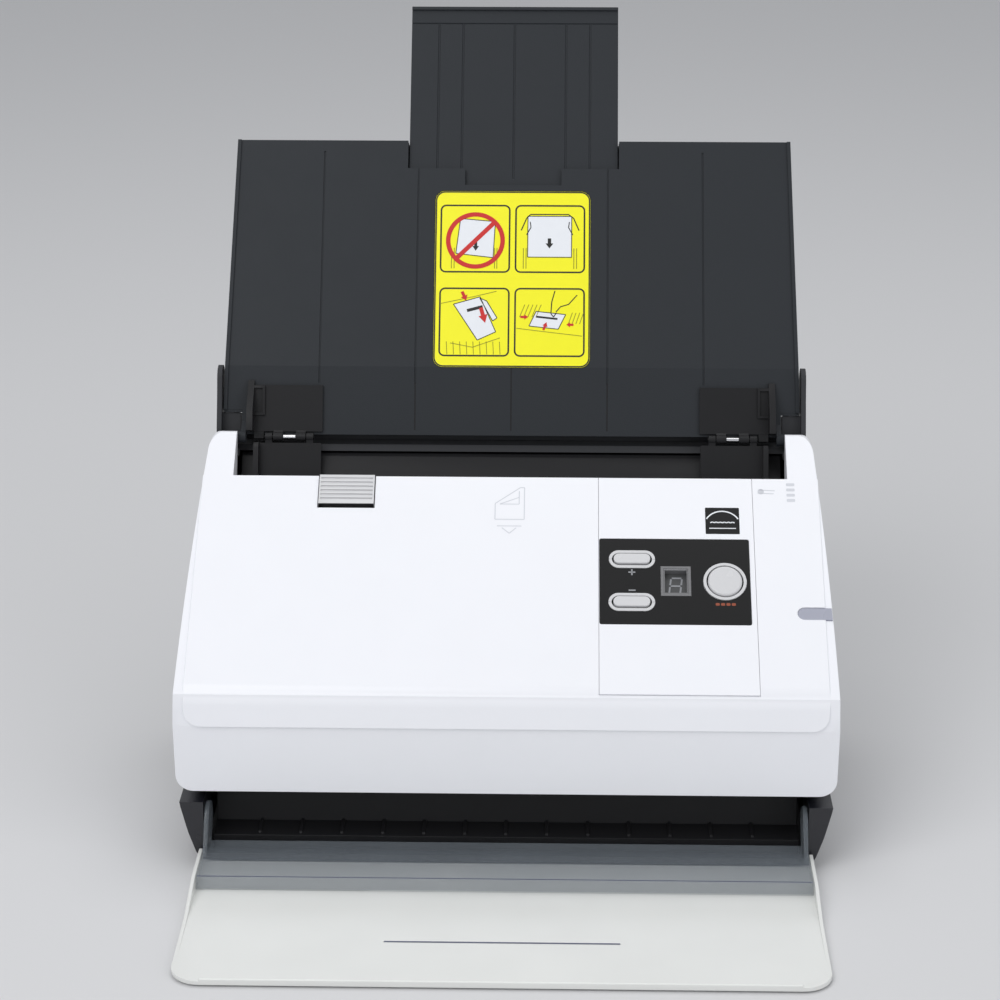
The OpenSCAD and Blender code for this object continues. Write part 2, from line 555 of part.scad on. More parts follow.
// ---- electronics -------------------------------------------------------------------------
board_z = 9;
module main_board() place() color([0.1, 0.35, 0.18]) block(-50, 104, 88, 158.6, board_z, board_z + 1.6);
module board_parts() place() color([0.14, 0.14, 0.15]) {
    block(0, 24, 108, 132, board_z + 1.6, board_z + 3.4);
    block(34, 46, 112, 130, board_z + 1.6, board_z + 3);
    block(-40, -14, 92, 98, board_z + 1.6, board_z + 8);
    block(60, 96, 92, 96, board_z + 1.6, board_z + 6);
    for (y = [108, 122]) translate([84, y, board_z + 1.6]) cylinder(r = 5, h = 12);
}
module scan_ribbon() place() color([0.9, 0.9, 0.86]) slab(64, 90, [up_path(48, -17), up_path(47, -17),
    [70.6, 52], [79, 17.4], [92.4, 15], [92.4, 15.4], [79.8, 18], [71.6, 52.4]]);
module dc_jack() place() color([0.12, 0.12, 0.12]) difference() {
    union() {
        translate([jack_at[0], body_d - 4, jack_at[1]]) rotate([-90, 0, 0]) cylinder(r = 4.5, h = 4);
        block(jack_at[0] - 5, jack_at[0] + 5, body_d - 14, body_d - 3, board_z + 1.6, jack_at[1] + 5.5);
    }
    translate([jack_at[0], body_d - 9, jack_at[1]]) rotate([-90, 0, 0]) cylinder(r = 2.85, h = 12);
}
module usb_socket() place() color([0.72, 0.73, 0.75]) difference() {
    block(usb_at[0] - 6, usb_at[0] + 6, body_d - 16, body_d, usb_at[1] - 5.4, usb_at[1] + 5.4);
    block(usb_at[0] - 4.4, usb_at[0] + 4.4, body_d - 11, body_d + 1, usb_at[1] - 4, usb_at[1] + 4);
    block(usb_at[0] - 6.5, usb_at[0] + 6.5, body_d - 17, body_d - 3, board_z - 2, board_z + 1.6);
}
module power_rocker() place() color([0.1, 0.1, 0.1]) translate([rocker_at[0], body_d - 2, rocker_at[1]]) {
    rod(-7, 7, 2.4);
    rod(-9, 9, 1.2);
    slab(-7, 7, [[-1, -4.4], [1.2, -4.6], [1.6, 0], [2.8, 4.4], [-0.8, 4.4]]);
}

// ---- chute -------------------------------------------------------------------------------
groove_x = [-98, -49, 49, 98];
pinion_at = [0, 14];
rack_m = 0.8;
rack_n = 15;
rack_r = rack_m * rack_n / 2;
module grooves(y0, y1, z, xs) for (x = xs) block(x - 0.5, x + 0.5, y0, y1, z - 0.5, z + 1);
function up_plate(y, z) = [bend_y + y * cos(chute_bend) + z * sin(chute_bend),
    floor_z - y * sin(chute_bend) + z * cos(chute_bend)];
function mitre(z) = [bend_y + z * tan(chute_bend / 2), floor_z + z];
// upright strip along the chute's tapered right edge, as wide as t
module edge_strip(t, low, high) translate([0, 0, low]) linear_extrude(high - low)
    polygon([[chute_hw, notch_y], [chute_hw, notch_y + 2], [chute_hw - chute_taper, 160],
        [chute_hw - chute_taper - t, 160], [chute_hw - t, notch_y + 2], [chute_hw - t, notch_y]]);
module chute_panel() place() color([0.2, 0.21, 0.22]) in_chute() difference() {
    union() {
        block(-137.4, 137.4, 1.5, notch_y + 2, floor_z - 2, floor_z);
        intersection() {
            slab(-chute_hw, chute_hw, [[notch_y, floor_z], mitre(0), up_plate(chute_len, 0),
                up_plate(chute_len, -2), mitre(-2), [notch_y, floor_z - 2]]);
            union() {
                block(-10, 10, 0, 200, -60, 20);
                both() edge_strip(chute_hw - 5, -60, 20);
            }
        }
        both() intersection() {
            slab(100, chute_hw + 1, [[notch_y, floor_z - 8], [notch_y, floor_z + 0.9], mitre(0.9),
                up_plate(chute_len, 0.9), up_plate(chute_len, -8), mitre(-8)]);
            edge_strip(1.8, -60, 20);
        }
        both() rod(134.9, chute_hw, 3.2);
        both() slab(134.9, 137.4, [[-1.5, -2.8], [3, -4.5], [8, -4.5], [8, -2.5], [2.6, 1.8]]);
        translate([pinion_at[0], pinion_at[1], floor_z - 5.4]) cylinder(r = 2, h = 4);
    }
    both() rod(130, 150, 1.6 + run);
    for (x = groove_x) slab(x - 0.5, x + 0.5, [[28, floor_z + 1], [28, floor_z - 0.5], mitre(-0.5),
        up_plate(chute_len - 6, -0.5), up_plate(chute_len - 6, 1), mitre(1)]);
    bent() {
        block(-ext_hw - 0.6, ext_hw + 0.6, chute_len - 15, chute_len + 1, -5, 2);
        block(-25, 25, chute_len - 24, chute_len, -5, 2);
        translate([0, 47, -0.4]) linear_extrude(2) card(80.6, 94.6, 5.2);
    }
}
module chute_label() place() color([0.95, 0.9, 0.1]) in_upper()
    translate([0, 47, -0.4]) linear_extrude(0.5) card(80, 94, 5);
back_z = -8.2;
back_hw = chute_hw - chute_taper - 2.2;
module chute_back() place() color([0.15, 0.16, 0.17]) {
    in_upper() difference() {
        block(-back_hw, back_hw, 1.6, chute_len - 0.4, back_z - 2, -2.1);
        block(-back_hw + 2, back_hw - 2, -2, chute_len - 2.4, back_z, -1);
        block(-ext_hw - 0.4, ext_hw + 0.4, 10, chute_len + 1, back_z + 2.4, -1);
        block(-60, 60, chute_len - 14, chute_len + 1, back_z - 3, back_z - 1.6);
    }
    in_upper() both() block(ext_hw + 0.5, ext_hw + 2.5, 12, chute_len - 2, back_z - 0.4, -2.1);
    in_chute() difference() {
        block(-back_hw, back_hw, notch_y + 0.4, bend_y + 0.8, floor_z + back_z - 2, floor_z - 2.5);
        block(-back_hw + 2, back_hw - 2, notch_y - 1, bend_y + 2, floor_z + back_z, floor_z);
    }
    in_chute() block(-134, 134, 2, notch_y + 1, floor_z + back_z - 2, floor_z + back_z);
    in_chute() both() block(131.8, 134, 2, notch_y + 1, floor_z + back_z, floor_z - 2.1);
    in_chute() block(-134, 134, 2, 3.6, floor_z + back_z, floor_z - 6);
}
module chute_extension() place() color([0.17, 0.18, 0.19]) in_upper() difference() {
    union() {
        block(-ext_hw, ext_hw, chute_len + ext_out - ext_len, chute_len + ext_out, -4.6, -2.4);
        block(-ext_hw, ext_hw, chute_len + ext_out - 1.8, chute_len + ext_out, -4.6, -1.2);
        block(-40, 40, chute_len + ext_out - ext_len, chute_len + ext_out - ext_len + 2, -5.4, -3);
    }
    grooves(chute_len - 20, chute_len + ext_out - 9, -2.4, [-39.6, -27, 0, 27, 39.6]);
    block(-ext_hw - 1, ext_hw + 1, chute_len + ext_out - 9.4, chute_len + ext_out - 8.8, -2.9, 0);
}

// side guides: an upper leaf on the chute, a hinged lower leaf, and a rack behind the floor
guide_x = [96, 131];
fin_x = [131, 134.2];
carrier_x = [126, 131];
leaf_z = floor_z + 0.3;
rack_z = floor_z - 2.4;
rack_t = 1.3;
rack_teeth = 40;
function rack_pts(dir, shift) = let (p = rack_m * PI, h0 = 0.9, h1 = 0.55)
    [for (i = [0 : rack_teeth - 1]) let (x = -p * (i + shift))
        each [[x + 0.93, -dir * h0], [x + 0.36, dir * h1], [x - 0.36, dir * h1], [x - 0.93, -dir * h0]]];
// bar of the rack: y is the pitch line, dir the way the teeth point, shift in teeth
module rack(y, dir, z, reach, shift) translate([0, y, z]) {
    linear_extrude(rack_t) polygon(concat([[2.4, -dir * 3], [2.4, -dir * 0.9]], rack_pts(dir, shift),
        [[-reach, -dir * 0.9], [-reach, -dir * 3]]));
}
module guide_leaf() {
    block(-guide_x[1], -guide_x[0], 2.8, 26.5, leaf_z, leaf_z + 1.3);
    slab(-fin_x[1], -fin_x[0], [[2.8, leaf_z], [29, leaf_z], [29, leaf_z + 0.8], [13, 7], [2.8, 7]]);
    block(-131.1, -125.4, 24.8, 26.2, leaf_z, leaf_z + 2.6);
    block(-126.6, -125.4, 11, 26.2, leaf_z, leaf_z + 2.6);
    block(-131.1, -125.4, 11, 12.2, leaf_z, leaf_z + 2.6);
    for (x = [-121, -109.5]) {
        rod(x, x + 5, 2.2);
        slab(x, x + 5, [[0, 2], [0, -2], [3.4, leaf_z], [3.4, leaf_z + 1.3]]);
    }
    slab(-carrier_x[1], -carrier_x[0], [[3, leaf_z + 1.3], [3, leaf_z], [1.2, leaf_z], [1.2, rack_z],
        [7, rack_z], [7, rack_z - rack_t], [-0.8, rack_z - rack_t], [-0.8, -1]]);
}
module guide_pin() rod(-125.4, -100.2, 1.0);
module left_guide() place() in_chute() color([0.13, 0.13, 0.14]) {
    guide_leaf();
    block(-carrier_x[1], -carrier_x[0], 5, pinion_at[1] + rack_r + 3, rack_z - rack_t, rack_z);
    rack(pinion_at[1] + rack_r, -1, rack_z - rack_t, 127, 0);
    guide_pin();
}
module right_guide() place() in_chute() color([0.13, 0.13, 0.14]) {
    mirror([1, 0, 0]) guide_leaf();
    block(carrier_x[0], carrier_x[1], 2, pinion_at[1] - rack_r,
        rack_z - 2 * rack_t - 0.3, rack_z - rack_t + 0.1);
    mirror([1, 0, 0]) rack(pinion_at[1] - rack_r, 1, rack_z - 2 * rack_t - 0.3, 127, 0.5);
    mirror([1, 0, 0]) guide_pin();
}
// the left rack has a tooth over the pinion's centre, so the pinion has a gap at 90 degrees
module guide_pinion() place() color([0.85, 0.85, 0.8]) in_chute()
    translate([pinion_at[0], pinion_at[1], rack_z - 2 * rack_t - 0.3]) difference() {
        linear_extrude(2 * rack_t + 0.2) polygon(gear_pts(rack_m, rack_n, 90 + 180 / rack_n));
        translate([0, 0, -1]) cylinder(r = 2 + run, h = 8);
    }
module flap_shape() difference() {
    union() {
        block(-130.6, -96.5, -20.5, -3.1, -0.75, 0.75);
        slab(-130.6, -128, [[-20.5, 0.7], [-3.1, 0.7], [-3.1, 4.2], [-6, 5.6], [-20.5, 5.6]]);
        for (x = [-125, -104]) {
            rod(x, x + 3.5, 2.2);
            slab(x, x + 3.5, [[0, 2], [-3.6, 0.75], [-3.6, -0.75], [0, -2]]);
        }
    }
    rod(-135, -95, 1.0 + run);
}
module left_flap() place() in_chute() color([0.14, 0.14, 0.15]) flap_shape();
module right_flap() place() in_chute() color([0.14, 0.14, 0.15]) mirror([1, 0, 0]) flap_shape();

// ---- exit tray ---------------------------------------------------------------------------
ramp_front = -33;
tray_back = -3.5;
module exit_tray() place() color([0.85, 0.86, 0.85, 0.8]) {
    difference() {
        intersection() {
            translate([0, -tray_reach / 2 + 10, 1]) linear_extrude(2.2)
                card(2 * tray_hw, tray_reach + 20, 14);
            block(-200, 200, -tray_reach - 1, tray_back, 0, 20);
        }
        block(-54, 54, -80.6, -79.4, 2.4, 5);
    }
    both() slab(tray_hw - 1.8, tray_hw,
        [[-96, 1.6], [-96, 3.2], [-60, 4], [ramp_front, 9.8], [tray_back, 9.8], [tray_back, 1.6]]);
    slab(14 - tray_hw, tray_hw - 14, [[-tray_reach, 2], [-tray_reach, 3.9], [1.2 - tray_reach, 4.3],
        [3 - tray_reach, 2.6]]);
}
module tray_ramp() place() color([0.8, 0.83, 0.86, 0.6]) {
    difference() {
        slab(-tray_hw + 2.1, tray_hw - 2.1, [[ramp_front, 3.2], [ramp_front, 10], [5, 10], [5, 8.2],
            [ramp_front + 1.8, 8.2], [ramp_front + 1.8, 3.2]]);
        both() block(145.4, 160, tray_back, 10, 7, 12);
    }
    both() slab(143.2, 145.4, [[-14, 9], each arc(tray_o, 8, 150, -40, 16), [5, 9]]);
    both() rod(143.2, 148.6, 2.4, tray_o[0], tray_o[1]);
}

base_pan();
rear_housing();
exit_deck();
paper_guide();
side_frames();
rubber_feet();
case_screws();
shaft_bushes();
lower_scan_bar();
lower_scan_glass();
main_board();
board_parts();
scan_ribbon();
dc_jack();
usb_socket();
power_rocker();
drive_motor();
motor_pinion();
drive_idler();
feed_idler();
transport_shaft();
transport_tyres();
feed_shaft();
feed_tyre();
exit_shaft();
exit_tyres();
sensor_flag();
latch_catches();
cover_hinge_pins();
chute_hinge_pins();
front_cover();
control_panel();
control_label();
button_rings();
scan_button();
plus_button();
minus_button();
display_window();
digit_module();
button_board();
light_pipe();
inner_frame();
upper_scan_bar();
upper_scan_glass();
separation_pad();
transport_pinch();
exit_pinch();
latch_bar();
release_tab();
chute_panel();
chute_back();
chute_label();
guide_pinion();
chute_extension();
left_guide();
right_guide();
left_flap();
right_flap();
exit_tray();
tray_ramp();
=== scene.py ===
"""Looks of a desktop sheet fed scanner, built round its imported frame.

Every piece is shaped in millimetres in the frame it belongs to (the body, the sloped control
face, the chute's foot or the chute's upper plate) and is then seated in the row frame in metres.
"""

import json
import math

import bmesh
import bpy
from mathutils import Matrix, Vector

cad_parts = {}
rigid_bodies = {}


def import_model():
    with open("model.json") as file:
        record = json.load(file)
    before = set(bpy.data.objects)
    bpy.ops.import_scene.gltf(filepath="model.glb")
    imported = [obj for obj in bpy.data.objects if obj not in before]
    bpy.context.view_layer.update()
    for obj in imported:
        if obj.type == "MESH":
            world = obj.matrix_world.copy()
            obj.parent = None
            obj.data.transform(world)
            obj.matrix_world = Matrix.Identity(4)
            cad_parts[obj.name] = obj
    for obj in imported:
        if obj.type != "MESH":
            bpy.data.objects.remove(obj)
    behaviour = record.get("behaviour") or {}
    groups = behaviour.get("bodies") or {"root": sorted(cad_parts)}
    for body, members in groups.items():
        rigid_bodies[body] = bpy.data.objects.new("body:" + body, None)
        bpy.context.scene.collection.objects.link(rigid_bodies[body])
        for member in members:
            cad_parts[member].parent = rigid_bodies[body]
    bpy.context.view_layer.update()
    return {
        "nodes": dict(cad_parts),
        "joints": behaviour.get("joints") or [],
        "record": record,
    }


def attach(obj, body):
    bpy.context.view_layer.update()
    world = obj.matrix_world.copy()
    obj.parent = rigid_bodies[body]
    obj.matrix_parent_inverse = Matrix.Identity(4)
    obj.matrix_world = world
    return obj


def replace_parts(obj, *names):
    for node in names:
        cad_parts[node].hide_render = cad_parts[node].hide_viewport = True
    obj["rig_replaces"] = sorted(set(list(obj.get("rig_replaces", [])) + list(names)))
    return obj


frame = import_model()

bl_info = {
    "name": "Sheet fed scanner",
    "version": (1, 0, 0),
    "blender": (4, 5, 0),
    "location": "3D View > Sidebar > Scanner",
    "description": "Builds the shells, controls, chute, guides, tray and works of a sheet fed scanner",
    "category": "Add Mesh",
}

MM = 0.001
PRINT_LOW = 0.02                           # the lower side of a print lies just above its surface
RECORD = frame["record"]
BODY_OF = {n: body for body, nodes in RECORD["behaviour"]["bodies"].items() for n in nodes}
SLOT_OF = {s["node"]: s["material_slot"] for s in RECORD["subparts"]}
HINGE = {j["name"]: Vector(j["pos_m"]) / MM for j in frame["joints"] if "pos_m" in j}

# the frames that the pieces are drawn in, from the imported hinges
COVER_HINGE = (11.0, 43.5)                 # depth and height of the cover's hinge in the body frame
BODY = Matrix.Translation((0, HINGE["cover_opening"].y - COVER_HINGE[0], 0))
FACE_ANGLE = 37.0
FOLD_ANGLE = 68.0
CHUTE_BEND = 10.0
BEND_UP = 36.5                             # bend line of the chute above its fold axis
FLOOR = -2.5                               # chute floor behind the fold axis
FACE_LINE = (2.6, 89.0)                    # bend line of the control face in the body frame
FACE_LEN = 124.6
FACE = BODY @ Matrix.Translation((0, *FACE_LINE)) @ Matrix.Rotation(math.radians(FACE_ANGLE), 4, "X")
CHUTE = Matrix.Translation((0, *HINGE["chute_folding"].yz)) @ Matrix.Rotation(
    math.radians(FOLD_ANGLE), 4, "X")
UPPER = CHUTE @ Matrix.Translation((0, BEND_UP, FLOOR)) @ Matrix.Rotation(
    math.radians(-CHUTE_BEND), 4, "X")


def srgb(r, g, b):
    """A colour given in display values from 0 to 255, as linear light."""
    return tuple(c / 12.92 if c <= 0.04045 else ((c + 0.055) / 1.055) ** 2.4
                 for c in (r / 255, g / 255, b / 255))


# ---- sizes and colours a user may change -----------------------------------------------------
def length_mm(name, value, text):
    return bpy.props.FloatProperty(name=name, default=value * MM, unit="LENGTH", description=text)


def colour(name, value, text):
    return bpy.props.FloatVectorProperty(
        name=name, default=srgb(*value), subtype="COLOR", size=3, min=0, max=1, description=text)


class ScannerSizes(bpy.types.PropertyGroup):
    shell_round: length_mm("Shell rounding", 4.6, "Radius where the cover's face turns into its sides")
    bend_round: length_mm("Bend rounding", 6.0, "Radius where the face turns down into the front band")
    edge_round: length_mm("Edge rounding", 0.5, "Rounding of the moulded edges")
    fine_round: length_mm("Fine rounding", 0.25, "Rounding of small and thin parts")
    leaf_round: length_mm("Leaf rounding", 0.3, "Rounding of the guides and of the tray's ramp")
    well_depth: length_mm("Display depth", 4.2, "Depth of the display's well")
    art_step: length_mm("Print step", 0.04, "Height of one printed layer over the last")
    camera_right: length_mm("Camera offset", 22.0, "How far the camera stands to the right of the middle")
    camera_back: length_mm("Camera distance", 1204.6, "How far the camera stands in front of the origin")
    camera_up: length_mm("Camera height", 602.7, "Height of the camera above the table")
    lens: length_mm("Lens", 94.5, "Focal length of the camera on a 36 mm sensor")
    camera_pitch: bpy.props.FloatProperty(
        name="Camera pitch", default=math.radians(20), subtype="ANGLE", description="Downward tilt")
    camera_yaw: bpy.props.FloatProperty(
        name="Camera yaw", default=math.radians(1.24), subtype="ANGLE", description="Turn to the left")


class ScannerColours(bpy.types.PropertyGroup):
    white: colour("Cover white", (246, 247, 252), "Bright white of the front cover")
    charcoal: colour("Chute charcoal", (46, 49, 53), "Charcoal grey of the chute")
    housing: colour("Housing charcoal", (54, 55, 58), "Charcoal grey of the rear shells")
    black: colour("Base black", (22, 23, 30), "Blue-black of the base")
    plain_black: colour("Plain black", (30, 30, 32), "Black of the guides and inner mouldings")
    overlay: colour("Overlay", (20, 20, 21), "Black of the control overlay")
    silver: colour("Silver", (214, 214, 216), "Silver grey of the buttons")
    signal_yellow: colour("Label yellow", (255, 250, 10), "Yellow of the instruction label")
    signal_red: colour("Label red", (208, 32, 30), "Red of the signs")
    milk: colour("Tray milk", (241, 242, 239), "Milky white of the exit tray")
    clear: colour("Tray clear", (150, 158, 166), "Tint of the clear tray ramp")
    rubber: colour("Rubber", (62, 63, 66), "Dark grey of tyres and feet")


def sizes():
    return bpy.context.scene.scanner_sizes


def colours():
    return bpy.context.scene.scanner_colours


# ---- finishes --------------------------------------------------------------------------------
class Value:
    """A number that varies over a surface: the maths on it adds Math nodes."""

    def __init__(self, finish, socket):
        self.finish = finish
        self.socket = socket

    def _math(self, operation, a, b):
        return self.finish.node("ShaderNodeMath", {"operation": operation}, {0: a, 1: b})

    def __add__(self, other):
        return self._math("ADD", self, other)

    __radd__ = __add__

    def __mul__(self, other):
        return self._math("MULTIPLY", self, other)

    __rmul__ = __mul__


class Finish:
    """A node material with one Principled shader, and the pattern sources its looks are made from.

    A packed material that has the same name already gives it up.
    """

    def __init__(self, name):
        plain = bpy.data.materials.get(name)
        if plain:
            plain.name = name + "_plain"
        self.material = bpy.data.materials.new(name)
        self.material.use_nodes = True
        self.tree = self.material.node_tree
        self.shader = next(n for n in self.tree.nodes if n.type == "BSDF_PRINCIPLED")
        self.place = self.node("ShaderNodeTexCoord", {}, {}, "Object")

    def node(self, kind, settings, inputs, output=0):
        """Adds a node, sets it up, feeds its sockets and gives what comes out."""
        made = self.tree.nodes.new(kind)
        for key, value in settings.items():
            setattr(made, key, value)
        for key, value in inputs.items():
            if isinstance(value, Value):
                self.tree.links.new(value.socket, made.inputs[key])
            else:
                made.inputs[key].default_value = value
        return Value(self, made.outputs[output])

    def noise(self, per_metre, detail=2.0):
        inputs = {"Vector": self.place, "Scale": per_metre, "Detail": detail}
        return self.node("ShaderNodeTexNoise", {}, inputs)

    def stretched_noise(self, per_metre, stretch):
        turned = self.node("ShaderNodeMapping", {}, {"Vector": self.place, "Scale": stretch})
        return self.node("ShaderNodeTexNoise", {}, {"Vector": turned, "Scale": per_metre, "Detail": 3.0})

    def tint(self, factor, first, second):
        """A colour that varies from the first to the second."""
        inputs = {"Factor": factor, "A": (*first, 1), "B": (*second, 1)}
        return self.node("ShaderNodeMix", {"data_type": "RGBA"}, inputs, "Result")

    def bump(self, height, depth):
        inputs = {"Height": height, "Distance": depth, "Strength": 1.0}
        self.set(Normal=self.node("ShaderNodeBump", {}, inputs, "Normal"))

    def set(self, **sockets):
        """Feeds sockets of the shader, named with underscores for their spaces."""
        for key, value in sockets.items():
            socket = self.shader.inputs[key.replace("_", " ")]
            if isinstance(value, Value):
                self.tree.links.new(value.socket, socket)
            else:
                socket.default_value = value


def shade(base, factor):
    """A colour made lighter or darker."""
    return tuple(min(1.0, c * factor) for c in base)


def moulded(name, base, rough, grain=1400.0, depth=0.00002, coat=0.0, vary=0.03, sheen=0.5):
    """Moulded plastic: a fine spark-eroded grain, a slight unevenness of gloss and tint."""
    f = Finish(name)
    broad = f.noise(35.0)
    f.set(Base_Color=f.tint(broad, shade(base, 1 - vary), shade(base, 1 + vary)),
          Roughness=f.noise(90.0) * 0.1 + (rough - 0.05), Coat_Weight=coat, Coat_Roughness=0.18,
          Specular_IOR_Level=sheen)
    f.bump(f.noise(grain, 1.0), depth)


def metal(name, base, rough):
    """Drawn or ground metal: fine streaks along X."""
    f = Finish(name)
    streak = f.stretched_noise(60.0, (1.0, 18.0, 18.0))
    f.set(Metallic=1.0, Base_Color=f.tint(streak, shade(base, 0.86), base),
          Roughness=streak * 0.18 + rough)
    f.bump(streak, 0.00001)


def printed(name, base, rough=0.42, sheen=0.5):
    """Printed ink on film: flat colour with a slight unevenness."""
    f = Finish(name)
    f.set(Base_Color=f.tint(f.noise(160.0), shade(base, 0.95), base),
          Roughness=f.noise(300.0) * 0.08 + rough, Specular_IOR_Level=sheen)


def see_through(name, base, rough, alpha, cloudy=0.0):
    """Clear or milky plastic, a little more see-through in some places than in others."""
    f = Finish(name)
    cloud = f.noise(22.0)
    f.set(Base_Color=f.tint(cloud, shade(base, 0.97), base), Roughness=f.noise(120.0) * 0.06 + rough,
          Alpha=cloud * cloudy + alpha, Specular_IOR_Level=0.6)


def fibre_board(name):
    """Circuit board under green solder mask with a faint weave."""
    f = Finish(name)
    weave = f.noise(900.0, 4.0)
    f.set(Base_Color=f.tint(weave, srgb(18, 78, 40), srgb(26, 98, 52)), Roughness=weave * 0.1 + 0.35)
    f.bump(weave, 0.00002)


def build_finishes():
    """One material for each slot of the record, and the prints that only the looks have."""
    c = colours()
    moulded("white_shell", c.white[:], 0.34, 2200.0, 0.000006, coat=0.25, vary=0.012)
    moulded("charcoal_chute", c.charcoal[:], 0.5, 1500.0, 0.00004, sheen=0.2)
    moulded("charcoal_shell", c.housing[:], 0.55, 1500.0, 0.00004, sheen=0.25)
    moulded("black_shell", c.black[:], 0.3, 1800.0, 0.00001, coat=0.3)
    moulded("black_plastic", c.plain_black[:], 0.42, sheen=0.25)
    metal("frame_steel", (0.62, 0.63, 0.65), 0.3)
    metal("bright_steel", (0.8, 0.8, 0.82), 0.18)
    metal("motor_steel", (0.5, 0.51, 0.53), 0.35)
    moulded("grey_rubber", c.rubber[:], 0.72, 1200.0, 0.00004)
    moulded("acetal", srgb(226, 223, 212), 0.38)
    metal("pinion_brass", (0.8, 0.62, 0.28), 0.22)
    see_through("scan_glass", srgb(200, 225, 220), 0.05, 0.35)
    fibre_board("circuit_board")
    moulded("board_parts", srgb(38, 38, 40), 0.5)
    moulded("ribbon", srgb(226, 225, 216), 0.45)
    printed("label_black", c.overlay[:], 0.3, sheen=0.25)
    moulded("button_silver", c.silver[:], 0.26, 2600.0, 0.000005, coat=0.4, vary=0.02)
    printed("window_smoke", srgb(120, 120, 122), 0.3)
    printed("digit_grey", srgb(74, 75, 76), 0.35)
    moulded("light_grey", srgb(168, 170, 184), 0.28)
    printed("label_yellow", c.signal_yellow[:], 0.38)
    see_through("tray_milky", c.milk[:], 0.16, 0.9, 0.05)
    see_through("tray_clear", c.clear[:], 0.08, 0.24, 0.1)
    printed("ink_black", srgb(20, 20, 18))
    printed("ink_white", srgb(240, 243, 248))
    printed("ink_red", c.signal_red[:])
    printed("ink_orange", srgb(150, 72, 44))
    printed("ink_pale", srgb(216, 218, 225))
    # painted shade for the tray's groove and the clear ramp's edge
    printed("painted_edge_shade", srgb(96, 100, 122), 0.25)
    printed("ink_grey", srgb(150, 152, 156))
    printed("ink_olive", srgb(150, 146, 12))
    metal("pin_chrome", (0.86, 0.86, 0.88), 0.1)


# ---- making and seating pieces ---------------------------------------------------------------
def new_solid(bm, name):
    """Turns a finished bmesh into an object of the scene."""
    mesh = bpy.data.meshes.new(name)
    bm.to_mesh(mesh)
    bm.free()
    piece = bpy.data.objects.new(name, mesh)
    bpy.context.scene.collection.objects.link(piece)
    return piece


def outward_solid(bm, name):
    """A new solid of closed shapes, with their faces turned outwards."""
    bmesh.ops.recalc_face_normals(bm, faces=bm.faces)
    return new_solid(bm, name)


def add_prism(bm, outline, low, high, axis="z"):
    """Adds a closed outline pushed from low to high along an axis; x takes (y, z), y takes (x, z)."""
    def corner(a, b, c):
        return {"x": (c, a, b), "y": (a, c, b), "z": (a, b, c)}[axis]

    face = bm.faces.new([bm.verts.new(corner(a, b, low)) for a, b in outline])
    grown = bmesh.ops.extrude_face_region(bm, geom=[face])
    moved = [g for g in grown["geom"] if isinstance(g, bmesh.types.BMVert)]
    bmesh.ops.translate(bm, verts=moved, vec=corner(0, 0, high - low))


def prism(outline, low, high, axis="z"):
    """A bmesh that holds one outline pushed from low to high."""
    bm = bmesh.new()
    add_prism(bm, outline, low, high, axis)
    bmesh.ops.recalc_face_normals(bm, faces=bm.faces)
    return bm


def add_ring(bm, outline, width, low, high):
    """Adds a closed band of that width inside the outline."""
    face = bm.faces.new([bm.verts.new((x, y, low)) for x, y in outline])
    face.normal_update()
    bmesh.ops.inset_region(bm, faces=[face], thickness=width, use_even_offset=True, use_boundary=True)
    band = [f for e in face.edges for f in e.link_faces if f is not face]
    bmesh.ops.delete(bm, geom=[face], context="FACES_ONLY")
    grown = bmesh.ops.extrude_face_region(bm, geom=list(set(band)))
    moved = [g for g in grown["geom"] if isinstance(g, bmesh.types.BMVert)]
    bmesh.ops.translate(bm, verts=moved, vec=(0, 0, high - low))


def arc(cx, cy, radius, start, end, steps):
    """Points along an arc from one angle to another, both ends included."""
    turns = [math.radians(start + (end - start) * i / steps) for i in range(steps + 1)]
    return [(cx + radius * math.cos(turn), cy + radius * math.sin(turn)) for turn in turns]


def rounded(cx, cy, width, height, radius, steps=6):
    """Outline of a rectangle with round corners, counter-clockwise."""
    x = width / 2 - radius
    y = height / 2 - radius
    return [p for sx, sy, a in ((1, 1, 0), (-1, 1, 90), (-1, -1, 180), (1, -1, 270))
            for p in arc(cx + sx * x, cy + sy * y, radius, a, a + 90, steps)]


def circle(cx, cy, radius, steps):
    return arc(cx, cy, radius, 0, 360 - 360 / steps, steps - 1)


def stroke(start, end, width):
    """Outline of a straight stroke between two points."""
    d = (Vector(end) - Vector(start)).normalized() * width / 2
    return [(start[0] + d.y, start[1] - d.x), (end[0] + d.y, end[1] - d.x),
            (end[0] - d.y, end[1] + d.x), (start[0] - d.y, start[1] + d.x)]


def polyline(points, width):
    """Outlines of the strokes that join points in their order."""
    return [stroke(a, b, width) for a, b in zip(points, points[1:])]


def box(x0, x1, y0, y1):
    return [(x0, y0), (x1, y0), (x1, y1), (x0, y1)]


def combine(target, tool, operation):
    """Adds, cuts or keeps the shared part of two closed solids, and drops the tool."""
    mod = target.modifiers.new(operation, "BOOLEAN")
    mod.operation = operation
    mod.solver = "MANIFOLD"
    mod.object = tool
    shown = target.evaluated_get(bpy.context.evaluated_depsgraph_get())
    made = bpy.data.meshes.new_from_object(shown)
    target.modifiers.clear()
    bm = bmesh.new()
    bm.from_mesh(made)
    bmesh.ops.remove_doubles(bm, verts=bm.verts, dist=0.004)
    bmesh.ops.dissolve_degenerate(bm, edges=bm.edges, dist=0.004)
    bm.to_mesh(made)
    bm.free()
    target.data = made
    bpy.data.objects.remove(tool)
    return target


def soften(bm, edges, width, segments):
    """Rounds edges with a bevel of that width."""
    bmesh.ops.bevel(bm, geom=edges, offset=width, affect="EDGES", segments=segments, profile=0.5,
                    material=-1, clamp_overlap=True, offset_type="OFFSET")


